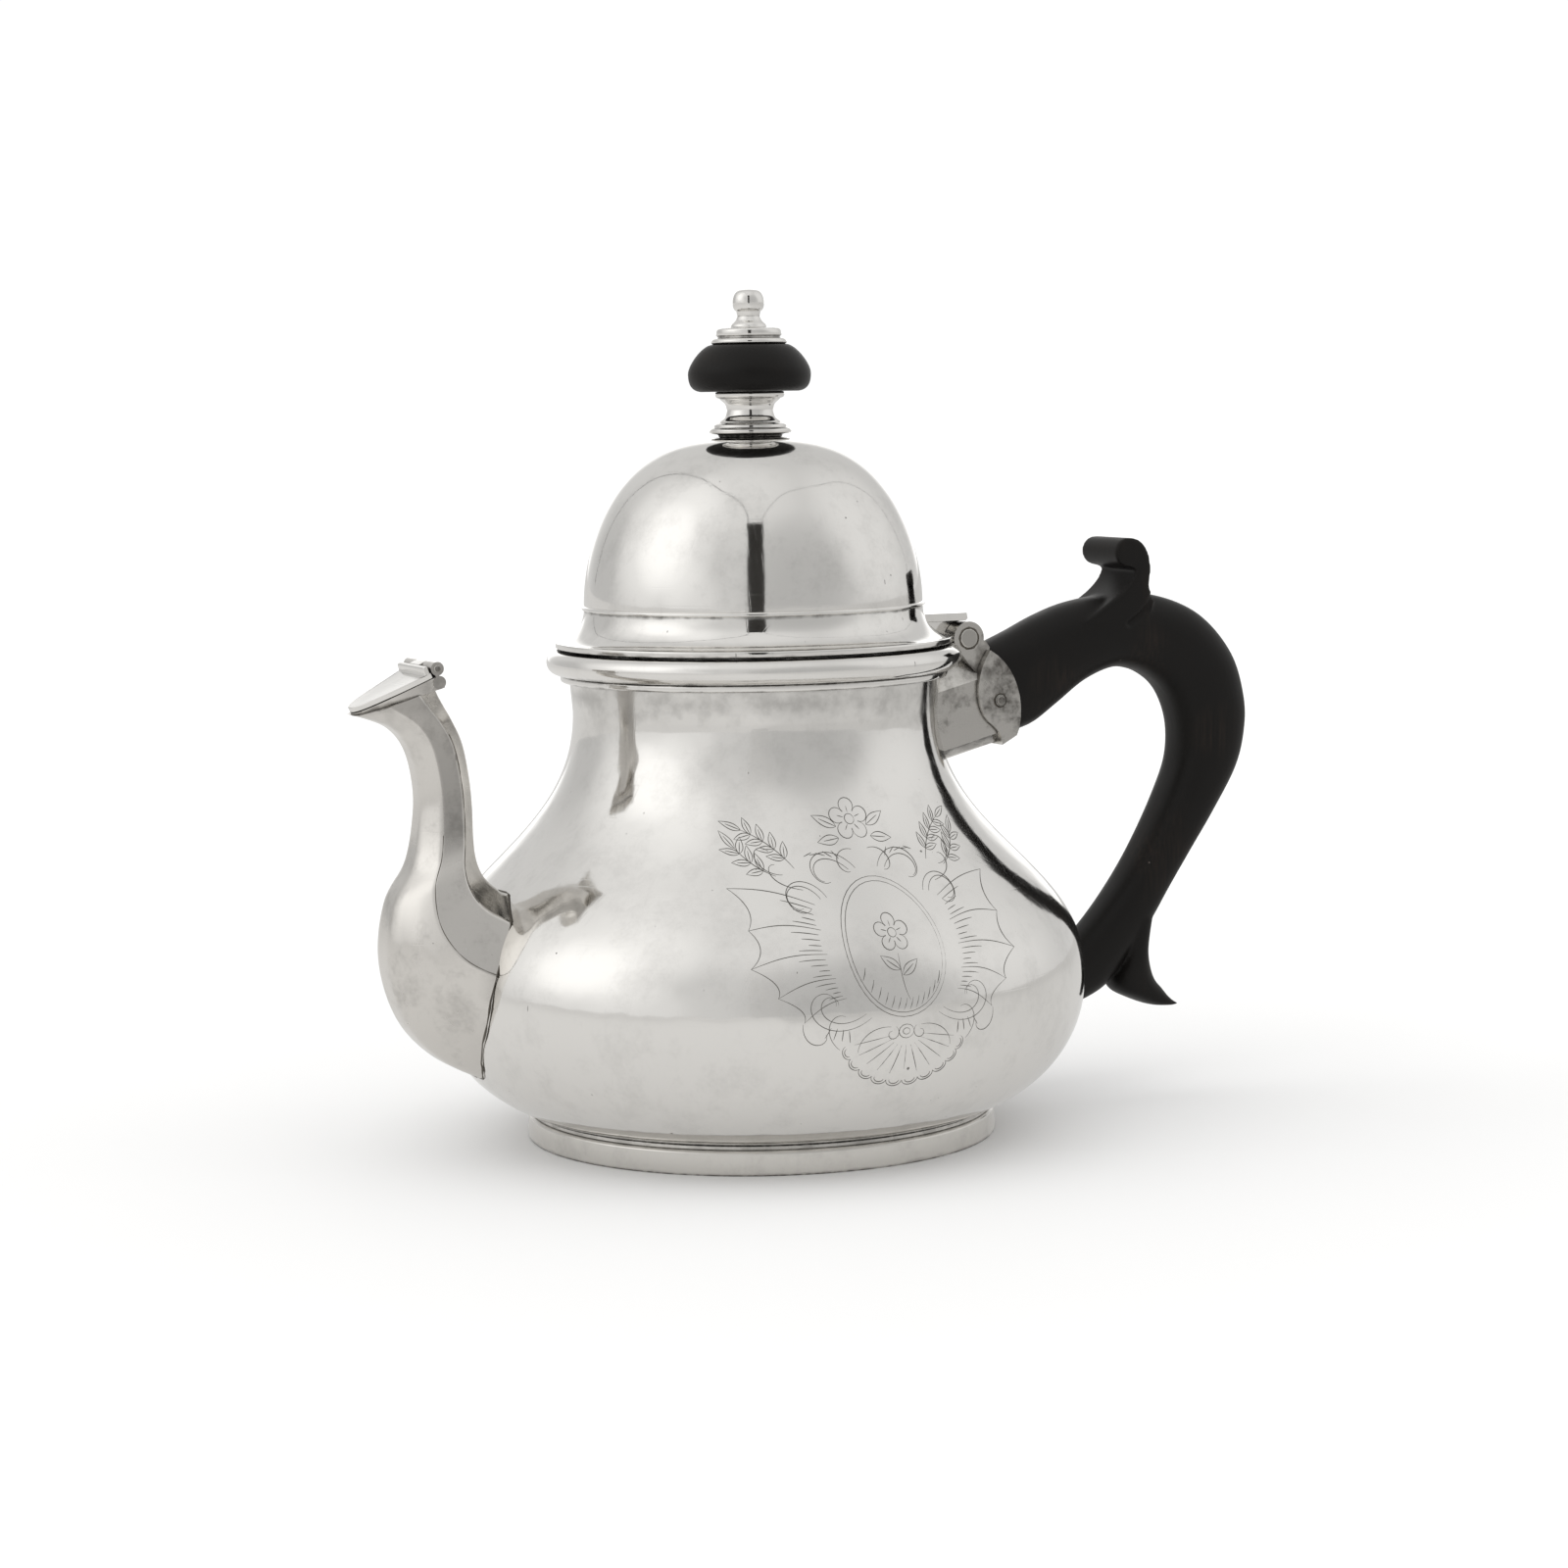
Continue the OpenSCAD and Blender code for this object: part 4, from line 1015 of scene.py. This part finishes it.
TAIL_STATIONS = [
    (79.5, 34.5, 85.6, 35.2, 5.5), (79.0, 27.6, 84.7, 29.2, 5.3), (77.3, 22.6, 85.4, 25.0, 5.2),
    (78.2, 20.2, 86.5, 22.2, 5.1), (81.8, 18.3, 88.0, 20.4, 5.0), (85.6, 16.9, 89.0, 19.0, 4.8),
    (88.9, 16.6, 90.2, 17.7, 4.5), (90.9, 16.8, 91.1, 17.1, 4.2)]
HANDLE_SIDES = 40
HANDLE_RINGS = 150
ROLL_MIDDLE = (78.2, 108.3)
ROLL_R = 2.8
SCROLL_HALF = 7.1
SOCKET_END_Z = 60


def handle_ring(station):
    """The handle's section at a station: an oval a little squarer than an ellipse."""
    low, high = Vector((station[0], 0, station[1])), Vector((station[2], 0, station[3]))
    points = []
    for i in range(HANDLE_SIDES):
        turn = 2 * math.pi * i / HANDLE_SIDES
        up = math.copysign(abs(math.cos(turn)) ** 0.8, math.cos(turn)) / 2
        side = math.copysign(abs(math.sin(turn)) ** 0.8, math.sin(turn))
        points.append(low.lerp(high, 0.5 - up) - Vector((0, side * station[4], 0)))
    return points


def carved_run(name, stations, keep=None):
    """A run of handle sections, left out where keep is false."""
    steps = (len(stations) - 1) * 12
    rings = [handle_ring(station_at(stations, (len(stations) - 1) * k / steps)) for k in range(steps + 1)]
    if keep:
        rings = list(zip(*[trimmed(list(rail), HANDLE_RINGS, keep) for rail in zip(*rings)]))
    piece = laid_over(name, [list(ring) for ring in rings])
    close_up(piece)
    return piece


def sawn_out(name, outline, half):
    """A piece sawn right through along its outline, to half its thickness on either side."""
    piece = drawn_out(name, outline, -half)
    bpy.ops.mesh.edge_face_add()
    bpy.ops.mesh.extrude_region_move(TRANSFORM_OT_translate={"value": (0, 2 * half * MM, 0)})
    close_up(piece)
    return piece


def thumb_scroll():
    """The upswept thumb piece, from the top of the arch to the roll at its end."""
    front = cubic((68.6, 95.0), (73.4, 98.7), (79.2, 100.7), (80.0, 105.0), 12)
    roll = [(ROLL_MIDDLE[0] + ROLL_R * math.cos(math.radians(a)),
             ROLL_MIDDLE[1] + ROLL_R * math.sin(math.radians(a))) for a in range(-100, -271, -10)]
    back = cubic((78.6, 111.1), (82.5, 111.2), (84.2, 106.5), (82.8, 101.6), 12)
    return sawn_out("thumb_scroll", front + roll + back + [(84.2, 98.4), (82.0, 95.0)], SCROLL_HALF)


def carve_line(piece, line, width, depth):
    """A line cut into both sides of a piece, given as X-Z points in millimetres."""
    for vertex in piece.data.vertices:
        place = Vector((vertex.co.x / MM, vertex.co.z / MM))
        if abs(vertex.co.y) < 5 * MM or (place - line[0]).length > 12:
            continue
        away = min((place - point).length for point in line)
        if away < width:
            vertex.co.y -= math.copysign(depth * MM * (1 - (away / width) ** 2), vertex.co.y)


def clear_of_belly(point):
    """Whether a point of the handle is above the belly or outside it."""
    return point.z > SOCKET_END_Z or outside_pot(point, SOLDER_DEPTH)


parts = [carved_run("handle", HANDLE_STATIONS, clear_of_belly), carved_run("tail", TAIL_STATIONS),
         thumb_scroll()]
bpy.ops.object.select_all(action="DESELECT")
for part in parts:
    part.select_set(True)
carved_handle = parts[0]
bpy.context.view_layer.objects.active = carved_handle
bpy.ops.object.join()
carved_handle.name = "carved_handle"
apply_modifier(carved_handle, "REMESH", mode="VOXEL", voxel_size=0.38 * MM)
apply_modifier(carved_handle, "SMOOTH", factor=0.5, iterations=9)
scroll_line = cubic((83.6, 99.4), (82.8, 97.2), (80.6, 95.4), (78.4, 94.2), 30)
carve_line(carved_handle, [Vector(point) for point in scroll_line], 0.9, 0.6)
bpy.ops.object.shade_smooth()


def black_stain():
    """Ebonised wood: close grain, a little brown where the stain is thin, pale rubbed marks."""
    material = bpy.data.materials.new("black_wood")
    material.use_nodes = True
    tree = material.node_tree
    shader = tree.nodes["Principled BSDF"]
    place = add_node(tree, "ShaderNodeTexCoord").outputs["Object"]
    grain = add_node(tree, "ShaderNodeTexNoise", None,
                     {"Vector": stretched(tree, place, (0, 0.35, 0), (1500, 1500, 90)), "Scale": 1.0,
                      "Detail": 3.0}).outputs["Fac"]
    thin = add_node(tree, "ShaderNodeTexNoise", None,
                    {"Vector": place, "Scale": 70, "Detail": 3.0}).outputs["Fac"]
    brown = math_node(tree, "MULTIPLY", ramp(tree, thin, 0.45, 0.75), ramp(tree, grain, 0.3, 0.8))
    stain = add_node(tree, "ShaderNodeMix", {"data_type": "RGBA"}, {"Factor": brown})
    stain.inputs[6].default_value = (0.0075, 0.0068, 0.0062, 1)
    stain.inputs[7].default_value = (0.020, 0.0145, 0.0115, 1)
    rubbed = placed(tree, PITS, Spread=2.2, Chance=0.05, Size=0.12).outputs["Mask"]
    worn = math_node(tree, "MULTIPLY", rubbed, ramp(tree, thin, 0.5, 0.62))
    marked = add_node(tree, "ShaderNodeMix", {"data_type": "RGBA"},
                      {"Factor": math_node(tree, "MULTIPLY", worn, 0.55), 6: stain.outputs[2]})
    marked.inputs[7].default_value = (0.16, 0.14, 0.125, 1)
    tree.links.new(marked.outputs[2], shader.inputs["Base Color"])
    shader.inputs["Specular IOR Level"].default_value = 0.17
    rough = math_node(tree, "ADD", ramp(tree, thin, 0.3, 0.7, 0.36, 0.46),
                      math_node(tree, "MULTIPLY", grain, 0.08))
    tree.links.new(rough, shader.inputs["Roughness"])
    relief = add_node(tree, "ShaderNodeBump", None,
                      {"Height": grain, "Distance": 0.02 * MM, "Strength": 0.8})
    tree.links.new(relief.outputs["Normal"], shader.inputs["Normal"])
    return material


black_wood = black_stain()
fit(carved_handle, black_wood, "black_wood", "pot", "handle")
fit(eased_copy("spigot", "handle_spigot", 0.1), socket_silver, "silver_socket", "pot", "handle_spigot")
fit(eased_copy("spigot_cross_pin", "spigot_pin", 0.15), pin_silver, "silver_pins", "pot", "spigot_pin")

# ---------------------------------------------------------------------------------------
# The lid hinge: two outer knuckles on webs soldered to the socket, a thick pin, and the
# lid's knuckle between them under a flat leaf that is soldered to the lid.
# ---------------------------------------------------------------------------------------
fit(eased_copy("hinge_posts", "lid_hinge_posts", 0.3), socket_silver, "silver_socket", "pot",
    "lid_hinge_posts")
fit(eased_copy("hinge_pin", "lid_hinge_pin", 0.3), pin_silver, "silver_pins", "pot", "lid_hinge_pin")


def ring_line(middle, radius, y):
    """A thin dark ring round a pin or a rivet on one side of the pot."""
    turns = [math.radians(15 * k) for k in range(24)]
    return [(Vector((middle[0] + radius * math.cos(a), y, middle[1] + radius * math.sin(a))),
             0.7 + 0.3 * math.sin(2.3 * k)) for k, a in enumerate(turns)]


rings = []
for pin, plate in (("lid_hinge_pin", "lid_hinge_posts"), ("socket_rivet", "socket_collar")):
    low, high = (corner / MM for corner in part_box(pin))
    middle = ((low.x + high.x) / 2, (low.z + high.z) / 2)
    radius = (high.x - low.x) / 2 + 0.15
    mesh = frame["nodes"][plate].data
    faces = BVHTree.FromPolygons([v.co for v in mesh.vertices], [f.vertices for f in mesh.polygons])
    for side in (1, -1):
        start = Vector((middle[0] + radius, side * 30, middle[1])) * MM
        rings.append(ring_line(middle, radius, faces.ray_cast(start, Vector((0, -side, 0)))[0].y / MM))
fit(wires("pin_rings", rings, 0.24, True), solder, "silver_socket", "pot")

# ---------------------------------------------------------------------------------------
# The lid: raised from one sheet to a tall dome, with a raised line above the hollow of its
# rim, and a ring soldered inside the rim that fits the mouth.
# ---------------------------------------------------------------------------------------
lid_low, lid_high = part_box("lid_dome")
LID_R = lid_high.y / MM
RIM_Z = lid_low.z / MM
DOME_Z = lid_high.z / MM
RIM_T = 1.1
DOME_R = 32.1
RIDGE_Z = 100.6
ROD_R = 1.3
BEZEL_R = NECK_R - SHEET - 0.4
dome_curve = cubic((DOME_R, RIDGE_Z + 0.5), (DOME_R, 109.7), (27.5, DOME_Z + 0.3), (5.4, DOME_Z), 48)
hollow_curve = cubic((LID_R - 0.5, RIM_Z + RIM_T), (34, RIM_Z + 1.6), (DOME_R + 0.2, 97.2),
                     (DOME_R, RIDGE_Z - 0.4), 30)
reed = [(DOME_R + 0.42 * math.cos(math.radians(a)), RIDGE_Z + 0.05 + 0.42 * math.sin(math.radians(a)))
        for a in range(-75, 76, 15)]
inner_r = DOME_R - SHEET
inner_hollow = cubic((inner_r, RIDGE_Z - 0.6), (inner_r, 97.4), (inner_r, 96),
                     (BEZEL_R, RIM_Z + SHEET), 12)
lid_silver = silver("silver_lid", hammer=2.6, pit_spread=5.0, pit_chance=0.3, pit_size=0.05,
                    nick=0.1, stains=0.11, joints=[(RIDGE_Z - 0.5, 0.35, 0.8), (RIM_Z, 0.4, 0.8)])
rim = [(BEZEL_R, RIM_Z), (LID_R, RIM_Z), (LID_R, RIM_Z + RIM_T), (LID_R - 0.5, RIM_Z + RIM_T + 0.02)]
lid_outline = (eased(rim, 0.3) + hollow_curve[1:] + reed + dome_curve
               + [(ROD_R, DOME_Z), (ROD_R, DOME_Z - SHEET)] + list(reversed(inset(dome_curve, SHEET)))
               + inner_hollow + [(BEZEL_R, RIM_Z)])
fit(turned("lid", lid_outline), lid_silver, "silver_lid", "lid", "lid_dome")
bezel_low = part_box("lid_bezel")[0].z / MM
bezel_outline = [(BEZEL_R, RIM_Z + 0.9), (BEZEL_R - 0.9, RIM_Z + 0.9), (BEZEL_R - 0.9, bezel_low + 0.5),
                 (BEZEL_R - 0.4, bezel_low), (BEZEL_R, bezel_low + 0.4), (BEZEL_R, RIM_Z + 0.9)]
fit(turned("lid_ring", eased(bezel_outline, 0.2)), lid_silver, "silver_lid", "lid", "lid_bezel")
fit(eased_copy("hinge_leaf", "lid_hinge_leaf", 0.3), lid_silver, "silver_lid", "lid", "lid_hinge_leaf")

# ---------------------------------------------------------------------------------------
# The finial: a turned silver base, a bun of blackened wood that stays cool to the touch,
# and a turned cap with a small ball, all drawn together by a rod and a nut in the lid.
# ---------------------------------------------------------------------------------------
DISC_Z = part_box("finial_disc")[0].z / MM
DISC_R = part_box("finial_disc")[1].x / MM
CAP_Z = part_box("finial_cap")[0].z / MM
TOP_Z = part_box("finial_cap")[1].z / MM
FINIAL_STEPS = 96
base_outline = [(ROD_R, DOME_Z), (5.95, DOME_Z), (6.1, DOME_Z + 0.6), (7.35, DOME_Z + 0.7),
                (7.75, DOME_Z + 0.95), (7.75, DOME_Z + 1.45), (7.4, DOME_Z + 1.75), (6.95, DOME_Z + 1.85),
                (6.95, DOME_Z + 2.3), (6.7, DOME_Z + 2.55), (5.9, DOME_Z + 2.7), (5.75, DOME_Z + 3.1),
                (4.75, DOME_Z + 3.9), (4.35, DOME_Z + 5.2), (4.65, DOME_Z + 6.3), (5.6, DOME_Z + 7.1),
                (5.7, DOME_Z + 7.35), (6.35, DOME_Z + 7.45), (6.6, DISC_Z - 0.5), (6.4, DISC_Z),
                (ROD_R, DISC_Z), (ROD_R, DOME_Z)]
cap_outline = [(ROD_R, CAP_Z), (6.9, CAP_Z), (7.25, CAP_Z + 0.5), (6.9, CAP_Z + 1.1), (5.9, CAP_Z + 1.2),
               (5.9, CAP_Z + 1.55), (6.2, CAP_Z + 1.7), (6.2, CAP_Z + 2.6), (5.9, CAP_Z + 3.0),
               (3.5, CAP_Z + 3.15), (3.3, CAP_Z + 3.75), (2.5, CAP_Z + 4.5), (2.1, CAP_Z + 5.3)]
ball = ([(2.3, TOP_Z - 4.1)]
        + cubic((2.3, TOP_Z - 4.1), (3.3, TOP_Z - 3.7), (3.25, TOP_Z - 0.9), (2.0, TOP_Z - 0.25), 12)
        + [(1.0, TOP_Z - 0.04), (0, TOP_Z)])
ROD_TOP = CAP_Z + 2.4
DISC_WIDEST_Z = DISC_Z + 3.3
disc_lower = cubic((9.2, DISC_Z), (11.1, DISC_Z + 0.2), (DISC_R, DISC_Z + 1.6), (DISC_R, DISC_WIDEST_Z), 14)
disc_upper = cubic((DISC_R, DISC_WIDEST_Z), (DISC_R, DISC_Z + 5.2), (8.7, CAP_Z), (7, CAP_Z), 18)
disc_outline = ([(ROD_R, DISC_Z)] + disc_lower + disc_upper[1:] + [(ROD_R, CAP_Z), (ROD_R, DISC_Z)])
finial_silver = silver("silver_finial", roughness=0.09, hammer=0.3, joints=[
    (DOME_Z, 0.25, 1.0), (DOME_Z + 1.75, 0.2, 0.9), (DOME_Z + 2.65, 0.22, 0.9), (DOME_Z + 7.4, 0.2, 0.9),
    (CAP_Z + 1.35, 0.3, 0.9), (CAP_Z + 3.1, 0.2, 0.8), (CAP_Z + 5.3, 0.25, 0.8)])
finial_foot = turned("finial_foot", eased(base_outline, 0.35), FINIAL_STEPS)
fit(finial_foot, finial_silver, "silver_finial", "lid", "finial_base")
fit(turned("finial_bun", disc_outline, FINIAL_STEPS), black_wood, "black_wood", "lid", "finial_disc")
rod_hole = [(0, ROD_TOP), (ROD_R, ROD_TOP), (ROD_R, CAP_Z)]
finial_top = turned("finial_top", eased(cap_outline, 0.3) + ball + rod_hole, FINIAL_STEPS)
fit(finial_top, finial_silver, "silver_finial", "lid", "finial_cap")
fit(eased_copy("finial_tie_rod", "finial_rod", 0.1), pin_silver, "silver_pins", "lid", "finial_rod")
fit(eased_copy("finial_lock_nut", "finial_nut", 0.2), pin_silver, "silver_pins", "lid", "finial_nut")

# ---------------------------------------------------------------------------------------
# The gap between the two soft boxes and the frame of the bright one. Only the lid and its
# finial mirror them as dark lines; for the rest of the pot they glow like the tent.
# ---------------------------------------------------------------------------------------
TENT_RADIUS = 1.5
FRAME_R = 6.5
GAP_CLOTH = (0.045, 0.043, 0.041, 1)
FRAME_LINE = [(-136, 2), (-135, 30), (-129, 50), (-106, 64), (-80, 68), (-52, 68), (-26, 65),
              (-10, 59), (-4, 51), (-3, 40), (-2.5, 2)]
FAINT_LINE = [(8.5, 2), (9, 40), (14, 52), (34, 62), (60, 64), (92, 58), (118, 46), (130, 28), (134, 4)]


def tent_point(azimuth, elevation):
    """A point on the tent's wall, in millimetres, seen from the middle of the lid."""
    return Vector(direction(azimuth, elevation)) * TENT_RADIUS / MM + Vector((0, 0, 110))


def tent_frame():
    """The gap as an upright strip, and the frames as thin tubes."""
    left = [tent_point(-2 - 0.05 * e, e) for e in range(-4, 47, 5)]
    right = [tent_point(8 + 0.06 * e, e) for e in range(-4, 47, 5)]
    strip = laid_over("soft_box_gap", [list(pair) for pair in zip(left, right)], False)
    bpy.ops.object.mode_set(mode="OBJECT")
    lines = [[(tent_point(*station_at(points, (len(points) - 1) * k / 60)), 1) for k in range(61)]
             for points in (FRAME_LINE, FAINT_LINE)]
    faint = [(point, 0.5) for point, share in lines[1]]
    return [strip, wires("soft_box_frames", [lines[0], faint], FRAME_R)]


def only_for_lid(staged):
    """Makes staged pieces dark in the lid's reflections and like the tent in all the others."""
    material, tree = empty_material("tent_gap")
    place = add_node(tree, "ShaderNodeNewGeometry").outputs["Position"]
    way = add_node(tree, "ShaderNodeVectorMath", {"operation": "NORMALIZE"}, {0: place}).outputs["Vector"]
    cloth = add_node(tree, "ShaderNodeBsdfDiffuse", None, {"Color": GAP_CLOTH})
    strength = math_node(tree, "SUBTRACT", tent_light(tree, way), 0.05)
    glow = add_node(tree, "ShaderNodeEmission", None, {"Color": TENT_WHITE, "Strength": strength})
    both = add_node(tree, "ShaderNodeAddShader", None, {0: cloth.outputs[0], 1: glow.outputs[0]})
    add_node(tree, "ShaderNodeOutputMaterial", None, {"Surface": both.outputs[0]})
    lit = bpy.data.collections.new("lit_by_gap")
    for piece in bpy.context.scene.objects:
        if piece.type == "MESH" and piece not in lid_pieces and piece not in staged:
            lit.objects.link(piece)
    for piece in staged:
        piece.data.materials.clear()
        piece.data.materials.append(material)
        piece.light_linking.receiver_collection = lit
        piece.visible_camera = False
        piece.visible_diffuse = False
        piece.visible_shadow = False


only_for_lid(tent_frame())
